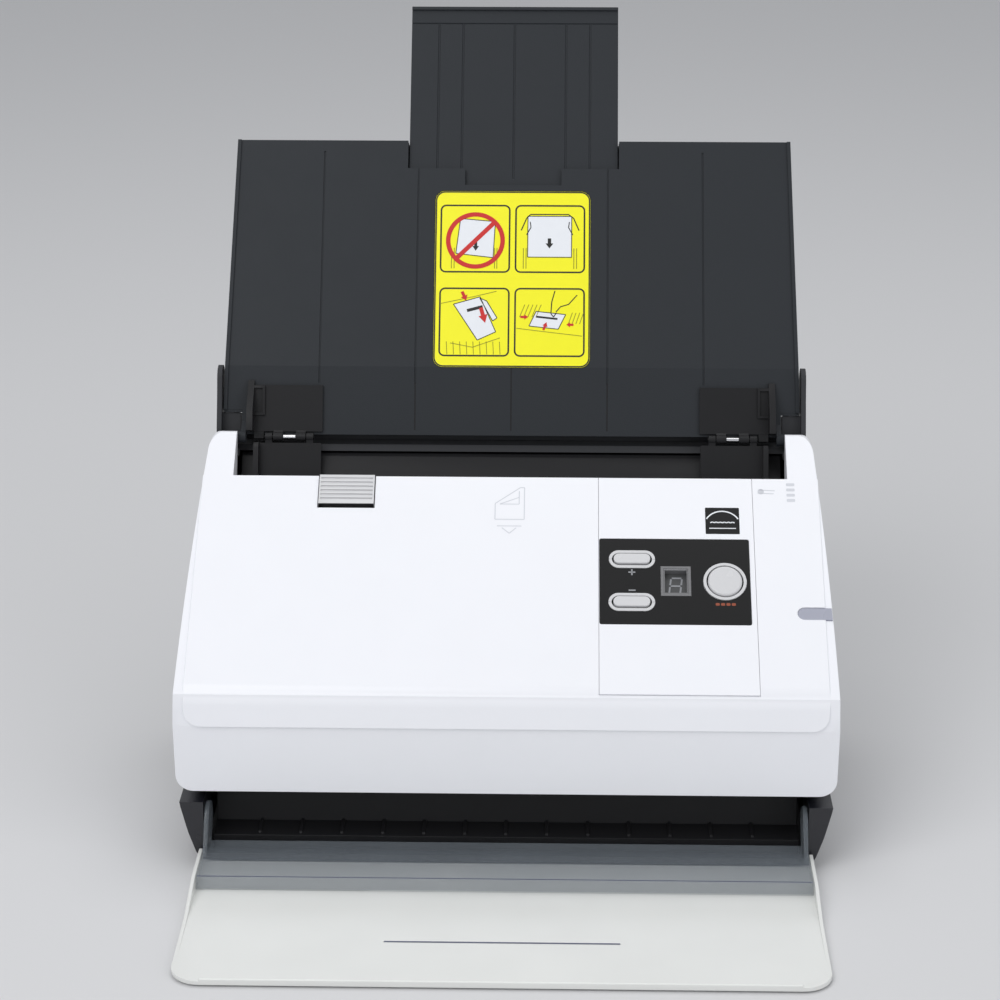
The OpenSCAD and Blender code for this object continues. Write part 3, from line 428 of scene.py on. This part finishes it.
def sharp_edges(bm, angle=30.0):
    """The edges where two faces meet at more than an angle in degrees."""
    limit = math.radians(angle)
    return [e for e in bm.edges if len(e.link_faces) == 2 and e.calc_face_angle(0) > limit]


def flatten_shading(piece):
    """Keeps the shading of wide faces flat next to their rounded edges."""
    mod = piece.modifiers.new("flat faces", "WEIGHTED_NORMAL")
    mod.keep_sharp = True
    shown = piece.evaluated_get(bpy.context.evaluated_depsgraph_get())
    made = bpy.data.meshes.new_from_object(shown)
    piece.modifiers.clear()
    plain = piece.data
    piece.data = made
    bpy.data.meshes.remove(plain)


def seat(piece, place, body, finish, replaces=(), smooth=32.0):
    """Puts a piece drawn in millimetres in its frame, shades it and lets it ride on its body."""
    piece.data.transform(Matrix.Scale(MM, 4) @ place)
    piece.data.materials.clear()
    piece.data.materials.append(bpy.data.materials[finish])
    piece.data.polygons.foreach_set("material_index", [0] * len(piece.data.polygons))
    piece.data.shade_smooth()
    piece.data.set_sharp_from_angle(angle=math.radians(smooth))
    flatten_shading(piece)
    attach(piece, body)
    if replaces:
        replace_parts(piece, *replaces)


def art(name, outlines, level, place, body, finish):
    """Thin printed shapes that lie on a surface, level steps above it."""
    step = sizes().art_step / MM
    bm = bmesh.new()
    for outline in outlines:
        add_prism(bm, outline, PRINT_LOW, level * step)
    seat(outward_solid(bm, name), place, body, finish)


def refined(node, width=0.0, smooth=32.0):
    """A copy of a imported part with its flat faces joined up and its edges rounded."""
    bm = bmesh.new()
    bm.from_mesh(frame["nodes"][node].data)
    bmesh.ops.scale(bm, vec=(1 / MM,) * 3, verts=bm.verts)
    bmesh.ops.remove_doubles(bm, verts=bm.verts, dist=0.002)
    bmesh.ops.dissolve_limit(bm, angle_limit=math.radians(0.5), verts=bm.verts, edges=bm.edges)
    if width:
        soften(bm, sharp_edges(bm), width / MM, 2)
    piece = new_solid(bm, node + "_finished")
    seat(piece, Matrix.Identity(4), BODY_OF[node], SLOT_OF[node], (node,), smooth)


# ---- pieces ----------------------------------------------------------------------------------
def dress(nodes, width, smooth=32.0):
    """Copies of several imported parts, all with edges of the same rounding."""
    for node in nodes:
        refined(node, width, smooth=smooth)


class SCANNER_OT_shells(bpy.types.Operator):
    """Base, rear housing, exit deck and inner mouldings with rounded edges"""
    bl_idname = "scanner.shells"
    bl_label = "Shells"

    def execute(self, context):
        dress(("base_pan", "rear_housing"), sizes().edge_round)
        dress(("exit_deck", "paper_guide", "inner_frame"), sizes().fine_round)
        dress(("rubber_feet", "side_frames", "power_rocker", "dc_jack", "usb_socket"), sizes().fine_round)
        return {"FINISHED"}


HALF_WIDE = 159.0
NARROWING = 5.6                            # lost on each side at the top of the cover
NARROWS_FROM = 62.0
NARROWS_OVER = 104.0


def half_width(z):
    """Half the width of the cover at a height, widest low down."""
    return HALF_WIDE - NARROWING * (max(0.0, z - NARROWS_FROM) / NARROWS_OVER) ** 2


def cover_outline(inset, foot=()):
    """The cover seen from the front, its sides curving in to rounded cheeks."""
    low_corner = arc(HALF_WIDE - 8.5, 45.8, 8.5 - inset, -90, 0, 8)
    side = [(half_width(z) - inset, z) for z in range(58, 166, 6)]
    cheek = arc(145.0, 172.4, 7.6 - inset, 0, 90, 10)
    right = list(foot) + low_corner + side + cheek
    return right + [(-x, z) for x, z in reversed(right)]


def on_face(u, z):
    """A point of the control face as depth and height in the body frame."""
    c = math.cos(math.radians(FACE_ANGLE))
    s = math.sin(math.radians(FACE_ANGLE))
    return (FACE_LINE[0] + u * c - z * s, FACE_LINE[1] + u * s + z * c)


PARTING_ANGLE = 69.0
BACK_TOP = (124.6, 175.4)
COVER_LOW = 37.3
BACK_LOW = (BACK_TOP[0] - (BACK_TOP[1] - COVER_LOW) / math.tan(math.radians(PARTING_ANGLE)), COVER_LOW)
COVER_WALL = 2.5
CHEEK_IN = 138.7                           # inner side of a cheek, from the middle
CONTROL_X = (44.3, 121.0)
TAB_X = (-95.0, -67.4)
TAB_LOW = 107.7                            # lower end of the release tab, up the face
PANEL_X = 154.0                            # half the width of the raised panel
PANEL_LOW = 73.0
PIPE_U = 46.8                              # middle of the light pipe, up the face
TOOL_REACH = 165.0                         # half the width of a tool that passes the cover's sides
TOOL_DEPTH = (-60, 260)                    # a tool that passes the cover from front to back


def cover_solid():
    """The cover's closed outer form with its sides and bend rounded."""
    ridge = on_face(FACE_LEN + 25.4, -3)
    front = [(3, COVER_LOW), (0.2, 72.9), on_face(0, -1), on_face(FACE_LEN - 1, -1), on_face(FACE_LEN, 0)]
    back = [(125.3, 176.8), BACK_TOP, BACK_LOW]
    profile = front + arc(*ridge, 3, 90 + FACE_ANGLE, 45, 6) + back
    outer = new_solid(prism(profile, -TOOL_REACH, TOOL_REACH, "x"), "cover_outer")
    combine(outer, new_solid(prism(cover_outline(0), *TOOL_DEPTH, "y"), "front_tool"), "INTERSECT")
    bm = bmesh.new()
    bm.from_mesh(outer.data)
    bmesh.ops.remove_doubles(bm, verts=bm.verts, dist=0.01)
    bmesh.ops.dissolve_limit(bm, angle_limit=math.radians(0.3), verts=bm.verts, edges=bm.edges)
    rim = []
    for e in sharp_edges(bm, 25):
        normals = [f.normal for f in e.link_faces]
        sideways = [abs(n.x) > 0.5 for n in normals]
        backs = [n.y > 0.6 or n.z < -0.6 for n in normals]
        if sideways[0] != sideways[1] and not any(backs):
            rim.append(e)
    soften(bm, rim, sizes().shell_round / MM, 5)
    bm.to_mesh(outer.data)
    bm.free()
    return outer


def panel_solid():
    """The slightly raised panel that carries the controls and runs down over the bend."""
    thick = 2.4
    drop = [(-1.0, PANEL_LOW), (1.0 + thick, PANEL_LOW), (2.2 + thick, 84), on_face(4, -thick),
            on_face(FACE_LEN, -thick), on_face(FACE_LEN, 0), FACE_LINE]
    panel = new_solid(prism(drop, -PANEL_X, PANEL_X, "x"), "panel")
    bm = bmesh.new()
    bm.from_mesh(panel.data)
    bend = [e for e in bm.edges if abs(e.verts[0].co.x - e.verts[1].co.x) > 100
            and all(abs(v.co.z - FACE_LINE[1]) < 0.01 and v.co.y < 3 for v in e.verts)]
    soften(bm, bend, sizes().bend_round / MM, 6)
    bm.to_mesh(panel.data)
    bm.free()
    card = new_solid(prism(rounded(0, PANEL_LOW + 100, 2 * PANEL_X, 200, 8), *TOOL_DEPTH, "y"), "card")
    combine(panel, card, "INTERSECT")
    bm = bmesh.new()
    bm.from_mesh(panel.data)
    bmesh.ops.remove_doubles(bm, verts=bm.verts, dist=0.01)
    rim = [e for e in sharp_edges(bm, 40) if any(
        f.normal.z > 0.3 or f.normal.y < -0.8 for f in e.link_faces) and all(
        f.normal.y < 0.55 for f in e.link_faces)]
    soften(bm, rim, 0.45, 2)
    bm.to_mesh(panel.data)
    bm.free()
    return panel


def face_tool(outline, low, high):
    """A cutter drawn on the control face."""
    tool = new_solid(prism(outline, low, high), "face_tool")
    tool.data.transform(BODY.inverted() @ FACE)
    return tool


class SCANNER_OT_front_cover(bpy.types.Operator):
    """White front cover with rounded sides, a raised panel and its openings"""
    bl_idname = "scanner.front_cover"
    bl_label = "Front cover"

    def execute(self, context):
        cover = cover_solid()
        combine(cover, panel_solid(), "UNION")
        combine(cover, self.hollow(), "DIFFERENCE")
        lip = new_solid(prism(box(-CHEEK_IN - 1, CHEEK_IN + 1, FACE_LEN - 3, FACE_LEN), -9, -1.2), "lip")
        lip.data.transform(BODY.inverted() @ FACE)
        combine(cover, lip, "UNION")
        throat = box(-CHEEK_IN, CHEEK_IN, FACE_LEN, FACE_LEN + 90)
        insert_seat = box(*CONTROL_X, 1.4, FACE_LEN + 1)
        insert_window = box(CONTROL_X[0] + 3, CONTROL_X[1] - 3, 8, 116)
        tab_slot = box(TAB_X[0] - 0.5, TAB_X[1] + 0.5, TAB_LOW - 2, FACE_LEN + 1)
        pipe_notch = arc(143.9, PIPE_U, 3.5, 90, 270, 12) + [(177, PIPE_U - 3.5), (177, PIPE_U + 3.5)]
        cuts = ((throat, -90, 20), (insert_seat, -2, 5), (insert_window, -8, 5), (tab_slot, -12, 5),
                (pipe_notch, -1.5, 3.5))
        for outline, low, high in cuts:
            combine(cover, face_tool(outline, low, high), "DIFFERENCE")
        inner_cheek = [(93.5, 157.2), (121.5, 178), (124.2, 174.8), (120, 164), (108, 143), (97, 134)]
        lug = circle(*COVER_HINGE, 5, 32)
        for name, outline, inner, outer in (("cheeks", inner_cheek, CHEEK_IN, CHEEK_IN + COVER_WALL),
                                            ("lugs", lug, 150.6, 153.4)):
            both = bmesh.new()
            for side in (-1, 1):
                add_prism(both, outline, side * inner, side * outer, "x")
            combine(cover, outward_solid(both, name), "UNION")
        cover.name = "front_cover_shell"
        seat(cover, BODY, "cover", "white_shell", ("front_cover",), 28.0)
        return {"FINISHED"}

    def hollow(self):
        """The room inside the cover, open at the back and below."""
        wall = COVER_WALL
        side = [(3 + wall, 30), (0.2 + wall, 72.9), on_face(0.6, -1 - wall),
                on_face(FACE_LEN + 14, -1 - wall), (400, 170), (400, 30)]
        inside = new_solid(prism(side, -TOOL_REACH, TOOL_REACH, "x"), "hollow")
        front = prism(cover_outline(wall, [(150.4, 20)]), -60, 460, "y")
        return combine(inside, new_solid(front, "front_tool"), "INTERSECT")


PLUS_AT = (60.7, 76.8)
MINUS_AT = (60.4, 52.4)
SCAN_AT = (105.9, 64.4)
DIGIT_AT = (82.0, 64.6)
STICKER_AT = (105.6, 99.6)


def seven_segments(cx, cy, width, height, lean, stroke_width):
    """A figure of seven strokes, leaning to the right."""
    def at(x, y):
        return (cx + x * width / 2 + y * height / 2 * lean, cy + y * height / 2)

    gap = 0.12
    level = [((-1 + gap, y), (1 - gap, y)) for y in (1, 0, -1)]
    upright = [((x, top - gap), (x, top - 1 + gap)) for top in (1, 0) for x in (-1, 1)]
    return [stroke(at(*a), at(*b), stroke_width) for a, b in level + upright]


class SCANNER_OT_controls(bpy.types.Operator):
    """Control insert, overlay, buttons with rings, display, marks and light pipe"""
    bl_idname = "scanner.controls"
    bl_label = "Controls"

    def execute(self, context):
        dress(("control_panel", "light_pipe", "release_tab"), sizes().fine_round)
        refined("control_label")
        self.buttons()
        self.tab_shadow()
        self.display()
        self.marks()
        return {"FINISHED"}

    def buttons(self):
        """Silver rings with a dark gap round each crowned button."""
        bm = bmesh.new()
        for x, y in (PLUS_AT, MINUS_AT):
            add_ring(bm, rounded(x, y, 22.6, 10.0, 4.98, 10), 1.5, -0.5, 0.42)
        add_ring(bm, circle(*SCAN_AT, 10.5, 64), 1.45, -0.5, 0.5)
        bmesh.ops.recalc_face_normals(bm, faces=bm.faces)
        soften(bm, sharp_edges(bm, 60.0), 0.3, 2)
        seat(new_solid(bm, "ring_set"), FACE, "cover", "button_silver", ("button_rings",))
        caps = (("plus_button", rounded(*PLUS_AT, 18.0, 5.6, 2.78, 10), 1.5),
                ("minus_button", rounded(*MINUS_AT, 18.0, 5.6, 2.78, 10), 1.5),
                ("scan_button", circle(*SCAN_AT, 8.4, 64), 1.1))
        for node, outline, crown in caps:
            bm = prism(outline, -3.0, 1.4)
            soften(bm, sharp_edges(bm, 60.0), crown, 5)
            cap = new_solid(bm, node + "_cap")
            seat(cap, FACE, BODY_OF[node], "button_silver", (node,))

    def tab_shadow(self):
        """Painted shadow: a dark strip at the release tab's front, where the opening it slides into lies
        in shade.
        """
        bm = prism(box(-94.8, -67.6, 107.45, 107.75), -3.0, 0.8)
        seat(new_solid(bm, "tab_painted_shadow"), FACE, "release_tab", "black_plastic")

    def display(self):
        """A well with pale walls and a figure on its floor."""
        x, y = DIGIT_AT
        depth = sizes().well_depth / MM
        bm = bmesh.new()
        add_ring(bm, box(x - 7.3, x + 7.3, y - 8.4, y + 8.4), 1.3, -0.5, 0.05)
        add_ring(bm, box(x - 5.95, x + 5.95, y - 6.95, y + 6.95), 0.6, -depth, -0.45)
        well = outward_solid(bm, "display_well")
        seat(well, FACE, "cover", "window_smoke", ("display_window",))
        bm = prism(box(x - 5.5, x + 5.5, y - 6.5, y + 6.5), -depth - 4, -depth + 0.2)
        floor = new_solid(bm, "display_floor")
        seat(floor, FACE, "cover", "digit_grey", ("digit_module",))
        bm = bmesh.new()
        for segment in seven_segments(x, y - 0.6, 5.4, 9.0, 0.12, 0.9):
            add_prism(bm, segment, -depth + 0.1, -depth + 0.4)
        seat(outward_solid(bm, "display_figure"), FACE, "cover", "ink_grey")

    def marks(self):
        """Printed signs on the overlay and on the white face."""
        plus = (60.6, 69.5)
        minus = (60.6, 59.2)
        wide = 3.4
        thin = 0.75
        signs = [stroke((plus[0] - wide / 2, plus[1]), (plus[0] + wide / 2, plus[1]), thin),
                 stroke((plus[0], plus[1] - wide / 2), (plus[0], plus[1] + wide / 2), thin * 0.98),
                 stroke((minus[0] - wide / 2, minus[1]), (minus[0] + wide / 2, minus[1]), thin)]
        art("button_marks", signs, 1, FACE, "cover", "ink_grey")
        under = [rounded(SCAN_AT[0] + dx, 51.6, 2.0, 1.5, 0.5, 3) for dx in (-3.9, -1.3, 1.3, 3.9)]
        art("scan_mark", under, 1, FACE, "cover", "ink_orange")
        self.sticker()
        self.page_sign()
        self.corner_glyphs()

    def sticker(self):
        """A plain dark square with a hill, a zigzag and a line under them."""
        x, y = STICKER_AT
        square = rounded(x, y, 16.8, 15.4, 0.4, 2)
        art("dark_sticker", [square], 2, FACE, "cover", "label_black")
        hill = polyline(arc(x, y - 3.4, 9.0, 30, 150, 14), 0.7)
        bars = [stroke((x - 6.6, y - 4.4), (x + 6.6, y - 4.4), 0.5)]
        teeth = polyline([(x - 6 + i, y - 1.2 + 0.5 * (i % 2)) for i in range(13)], 0.6)
        art("sticker_lines", hill + bars + teeth, 3, FACE, "cover", "ink_white")

    def page_sign(self):
        """A sheet with its corner turned over, and the arrowhead that says which way it goes."""
        sheet = [(-6.9, 99.6), (7.6, 99.6), (7.6, 118.4), (5.5, 118.4), (-6.9, 108.9), (-6.9, 99.6)]
        turned = [(5.0, 116.4), (5.0, 108.6), (-4.6, 108.6), (5.0, 112.6)]
        head = [(-3.4, 94.7), (0.3, 91.4), (3.7, 94.7)]
        lines = polyline(sheet, 0.5) + polyline(turned, 0.5) + polyline(head, 0.5)
        lines += [stroke((-5.8, 95.7), (6.3, 95.7), 0.5)]
        art("page_sign", lines, 1, FACE, "cover", "ink_pale")

    def corner_glyphs(self):
        """Small pale signs beside the insert: two sheets feeding, and a stack."""
        shapes = [stroke((123.6 + 0.6 * i, 116.2 + 1.8 * i), (131.6 + 0.6 * i, 115.8 + 1.8 * i), 0.5)
                  for i in range(2)]
        shapes += [circle(125.2, 117.1, 1.6, 14)]
        shapes += [rounded(140.0, 112.0 + 3.1 * i, 4.2, 1.7, 0.5, 3) for i in range(4)]
        art("corner_glyphs", shapes, 1, FACE, "cover", "ink_pale")


LABEL_W = 80.0
LABEL_H = 94.0
LABEL_TOP = 0.1                            # the yellow film stands this far above the chute
LABEL = UPPER @ Matrix.Translation((0, 0, LABEL_TOP))


def arrow(x, y, width, length, angle):
    """A fat arrow centred at a point; an angle of 0 points up the label."""
    c = math.cos(math.radians(angle))
    s = math.sin(math.radians(angle))
    shape = [(-0.22, -0.5), (0.22, -0.5), (0.22, 0.0), (0.5, 0.0), (0, 0.5), (-0.5, 0.0), (-0.22, 0.0)]
    return [(x + c * a * width - s * b * length, y + s * a * width + c * b * length) for a, b in shape]


class SCANNER_OT_chute(bpy.types.Operator):
    """Folding chute with its back, extension and the printed instruction label"""
    bl_idname = "scanner.chute"
    bl_label = "Chute"

    def execute(self, context):
        dress(("chute_panel", "chute_back", "chute_extension"), sizes().edge_round, 8.0)
        refined("chute_label")
        self.borders()
        self.signs()
        lips = self.corner_pair(137.5, 146.6, (12.65, 14.1), (-4.4, -2.7))
        seat(outward_solid(lips, "corner_lips"), CHUTE, "chute", "charcoal_chute")
        # Painted shade: black blocks that stand in for the shadow in the recess at each lower corner of
        # the chute.
        shade_blocks = self.corner_pair(137.6, 138.5, (-1.5, 12.4), (-5.4, -3.8))
        seat(outward_solid(shade_blocks, "corner_painted_shade"), CHUTE, "root", "black_plastic")
        lines = [stroke((x, 4.0), (x, top), 0.7) for x, top in ((-49, 28.4), (0, 36.2), (49, 28.4))]
        foot = CHUTE @ Matrix.Translation((0, 0, FLOOR))
        art("chute_foot_lines", lines, 1, foot, "chute", "black_plastic")
        return {"FINISHED"}

    def corner_pair(self, inner, outer, rise, depth):
        """A block on each side that closes the gap at a lower corner of the chute."""
        bm = bmesh.new()
        for side in (-1, 1):
            add_prism(bm, box(*sorted((inner * side, outer * side)), *rise), *depth)
        return bm

    def layer(self, name, outlines, level, finish):
        """Prints shapes on the label, level steps above its yellow film."""
        art(name, outlines, level, LABEL, "chute", finish)

    def borders(self):
        """The label's black edge and its four boxes."""
        bm = bmesh.new()
        top = sizes().art_step / MM
        add_ring(bm, rounded(0, LABEL_H / 2, LABEL_W - 0.2, LABEL_H - 0.2, 4.9, 8), 0.7, 0.01, top)
        for x in (-19.3, 19.3):
            for y in (68.4, 23.8):
                add_ring(bm, rounded(x, y, 36.2, 36.6, 3.0, 5), 0.85, 0.01, top)
        seat(outward_solid(bm, "label_borders"), LABEL, "chute", "ink_black")

    def signs(self):
        """The sheets, hands, arrows and scanner outlines in the label's boxes."""
        crooked = [(-27.0, 79.2), (-9.0, 77.6), (-10.0, 58.2), (-29.2, 60.4)]
        straight = [(7.8, 80.6), (30.4, 80.6), (30.4, 58.6), (7.8, 58.6)]
        card = [(12.4, 29.6), (27.6, 28.0), (23.8, 20.2), (8.8, 21.8)]
        fed = [[(-30.0, 33.2), (-16.4, 37.2), (-8.2, 18.6), (-17.6, 14.2)],
               [(-16.6, 36.6), (-13.0, 35.0), (-7.6, 26.0), (-9.8, 24.4)]]
        self.layer("label_paper", [crooked, straight, card, *fed], 1, "ink_white")
        edges = []
        for sheet in (crooked, straight, card, *fed):
            edges += polyline(sheet + sheet[:1], 0.42)
        hands = [(4.4, 73.0), (7.2, 79.6), (9.2, 81.6), (28.8, 81.6), (31.4, 79.6), (34.2, 73.0)]
        edges += polyline(hands, 0.55)
        edges += polyline([(7.2, 70.6), (9.4, 74.6), (9.0, 77.6)], 0.5)
        edges += polyline([(31.0, 70.6), (28.8, 74.6), (29.2, 77.6)], 0.5)
        edges += polyline([(22.0, 40.6), (20.4, 34.6), (20.0, 28.4), (21.4, 26.6), (22.8, 29.0)], 0.5)
        edges += polyline([(22.6, 29.4), (25.0, 32.2), (29.0, 33.4), (33.4, 38.4)], 0.5)
        edges += [stroke((12.4, 26.8), (23.4, 25.6), 1.0), stroke((-23.0, 29.8), (-15.0, 32.0), 1.6)]
        edges += [arrow(-19.0, 64.4, 3.4, 5.0, 180), arrow(19.0, 66.0, 4.0, 5.4, 180)]
        self.layer("label_lines", edges, 2, "ink_black")
        faint = []
        for x in (-31.4, -30.0, -9.2, -8.0, 5.6, 7.0, 31.6, 33.0):
            faint += [stroke((x, 52.4), (x, 63.4), 0.4)]
        faint += [stroke((-33 + 3.4 * i, 6.6), (-33.4 + 3.4 * i, 13.4), 0.35) for i in range(9)]
        faint += [stroke((4.0 + 2.1 * i, 26.6), (6.6 + 2.1 * i, 33.2), 0.35) for i in range(5)]
        faint += [stroke((29.0 + 1.9 * i, 23.0), (31.0 + 1.9 * i, 29.0), 0.35) for i in range(4)]
        faint += polyline([(-36.4, 33.6), (-20, 37.2), (-8, 40.2)], 0.35)
        faint += polyline([(2.4, 20.6), (12.0, 19.4), (36.0, 16.6)], 0.35)
        faint += polyline([(-31.4, 12.6), (-20, 10.4), (-6.0, 15.4)], 0.35)
        self.layer("label_faint", faint, 2, "ink_olive")
        self.prohibition()
        reds = [arrow(-24.6, 37.6, 3.6, 5.2, 205), arrow(-14.8, 27.4, 4.6, 8.4, 196),
                arrow(6.4, 26.6, 2.6, 4.0, -90), arrow(29.8, 22.6, 2.6, 3.6, 90),
                arrow(17.0, 21.8, 2.6, 4.4, -22)]
        self.layer("label_arrows", reds, 4, "ink_red")

    def prohibition(self):
        """Red ring with a slanting bar over the crooked sheet."""
        cx = -19.2
        cy = 67.4
        radius = 15.2
        width = 2.3
        bm = bmesh.new()
        top = 4 * sizes().art_step / MM
        add_ring(bm, circle(cx, cy, radius, 56), width, PRINT_LOW, top)
        reach = (radius - width) * math.sqrt(0.5) + 0.4
        bar = stroke((cx - reach, cy - reach), (cx + reach, cy + reach), width)
        add_prism(bm, bar, PRINT_LOW, top * 0.95)
        seat(outward_solid(bm, "label_prohibition"), LABEL, "chute", "ink_red")


class SCANNER_OT_guides(bpy.types.Operator):
    """Side guides with their racks, hinged lower leaves and bright pins"""
    bl_idname = "scanner.guides"
    bl_label = "Side guides"

    def execute(self, context):
        dress(("left_guide", "right_guide", "left_flap", "right_flap"), sizes().leaf_round)
        for side, body in ((-1, "left_guide"), (1, "right_guide")):
            bm = bmesh.new()
            add_prism(bm, circle(0, 0, 1.15, 20), side * 109.7, side * 115.8, "x")
            seat(outward_solid(bm, body + "_sleeve"), CHUTE, body, "pin_chrome")
        return {"FINISHED"}


class SCANNER_OT_tray(bpy.types.Operator):
    """Milky exit tray with its clear ramp and arms"""
    bl_idname = "scanner.tray"
    bl_label = "Exit tray"

    def execute(self, context):
        dress(("exit_tray",), sizes().edge_round)
        dress(("tray_ramp",), sizes().leaf_round)
        # Painted shade: a thin dark bluish strip printed flat on the tray where its groove lies in shade.
        groove = BODY @ Matrix.Translation((0, -80, 3.1))
        groove_shade = box(-53.9, 53.9, -0.57, 0.57)
        art("tray_groove_painted_shade", [groove_shade], 1, groove, "exit_tray", "painted_edge_shade")
        # Painted shade: a thin dark bluish strip along the clear ramp's top edge.
        ledge = BODY @ Matrix.Translation((0, -33, 10))
        edge = box(-145.6, 145.6, 0.5, 1.3)
        art("ramp_edge_painted_shade", [edge], 1, ledge, "exit_tray", "painted_edge_shade")
        return {"FINISHED"}


class SCANNER_OT_works(bpy.types.Operator):
    """Rollers, gears, motor, scan bars, latch and boards"""
    bl_idname = "scanner.works"
    bl_label = "Works"

    def execute(self, context):
        done = {n for o in bpy.data.objects for n in o.get("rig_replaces", [])}
        for node in sorted(frame["nodes"]):
            if node not in done:
                refined(node)
        return {"FINISHED"}


# ---- stage -----------------------------------------------------------------------------------
def soft_light(name, energy, size, at, aim):
    """A square lamp of that many watts and metres, turned to face a point."""
    lamp = bpy.data.lights.new(name, "AREA")
    lamp.energy = energy
    lamp.size = size
    held = bpy.data.objects.new(name, lamp)
    held.location = at
    held.rotation_euler = (Vector(aim) - Vector(at)).to_track_quat("-Z", "Y").to_euler()
    bpy.context.scene.collection.objects.link(held)


class SCANNER_OT_stage(bpy.types.Operator):
    """Pale floor, soft studio lights and the camera"""
    bl_idname = "scanner.stage"
    bl_label = "Stage"

    def execute(self, context):
        s = sizes()
        bm = bmesh.new()
        bmesh.ops.create_grid(bm, x_segments=1, y_segments=1, size=6.0)
        floor = new_solid(bm, "floor")
        paper = Finish("floor_paper")
        paper.set(Base_Color=(0.7, 0.7, 0.71, 1), Roughness=0.8)
        floor.data.materials.append(paper.material)
        world = bpy.data.worlds.new("studio")
        world.use_nodes = True
        sky = world.node_tree.nodes["Background"]
        sky.inputs["Color"].default_value = (0.95, 0.97, 1.0, 1)
        sky.inputs["Strength"].default_value = 0.5
        context.scene.world = world
        soft_light("key", 15.5, 1.4, (-0.9, -1.1, 1.7), (0, 0, 0.1))
        soft_light("fill", 8, 1.6, (1.5, -1.2, 1.0), (0, 0, 0.15))
        soft_light("top", 7, 1.2, (0.1, 0.5, 1.9), (0, 0, 0.1))
        lens = bpy.data.cameras.new("camera")
        lens.lens = s.lens / MM
        lens.sensor_width = 36.0
        camera = bpy.data.objects.new("camera", lens)
        camera.location = (s.camera_right, -s.camera_back, s.camera_up)
        camera.rotation_euler = (math.radians(90) - s.camera_pitch, 0, s.camera_yaw)
        context.scene.collection.objects.link(camera)
        context.scene.camera = camera
        context.scene.view_settings.view_transform = "Standard"
        return {"FINISHED"}


STEPS = (SCANNER_OT_shells, SCANNER_OT_front_cover, SCANNER_OT_controls, SCANNER_OT_chute,
         SCANNER_OT_guides, SCANNER_OT_tray, SCANNER_OT_works, SCANNER_OT_stage)


class SCANNER_PT_builder(bpy.types.Panel):
    """The scanner's sizes, colours and building steps"""
    bl_idname = "SCANNER_PT_builder"
    bl_label = "Sheet fed scanner"
    bl_space_type = "VIEW_3D"
    bl_region_type = "UI"
    bl_category = "Scanner"

    def draw(self, context):
        for group in (context.scene.scanner_sizes, context.scene.scanner_colours):
            part = self.layout.box()
            for key in group.__annotations__:
                part.prop(group, key)
        for step in STEPS:
            self.layout.operator(step.bl_idname)


CLASSES = (ScannerSizes, ScannerColours, *STEPS, SCANNER_PT_builder)


def register():
    for c in CLASSES:
        bpy.utils.register_class(c)
    bpy.types.Scene.scanner_sizes = bpy.props.PointerProperty(type=ScannerSizes)
    bpy.types.Scene.scanner_colours = bpy.props.PointerProperty(type=ScannerColours)


def unregister():
    del bpy.types.Scene.scanner_colours
    del bpy.types.Scene.scanner_sizes
    for c in reversed(CLASSES):
        bpy.utils.unregister_class(c)


def main():
    register()
    build_finishes()
    for step in STEPS:
        group, name = step.bl_idname.split(".")
        getattr(getattr(bpy.ops, group), name)()


if __name__ == "__main__":
    main()
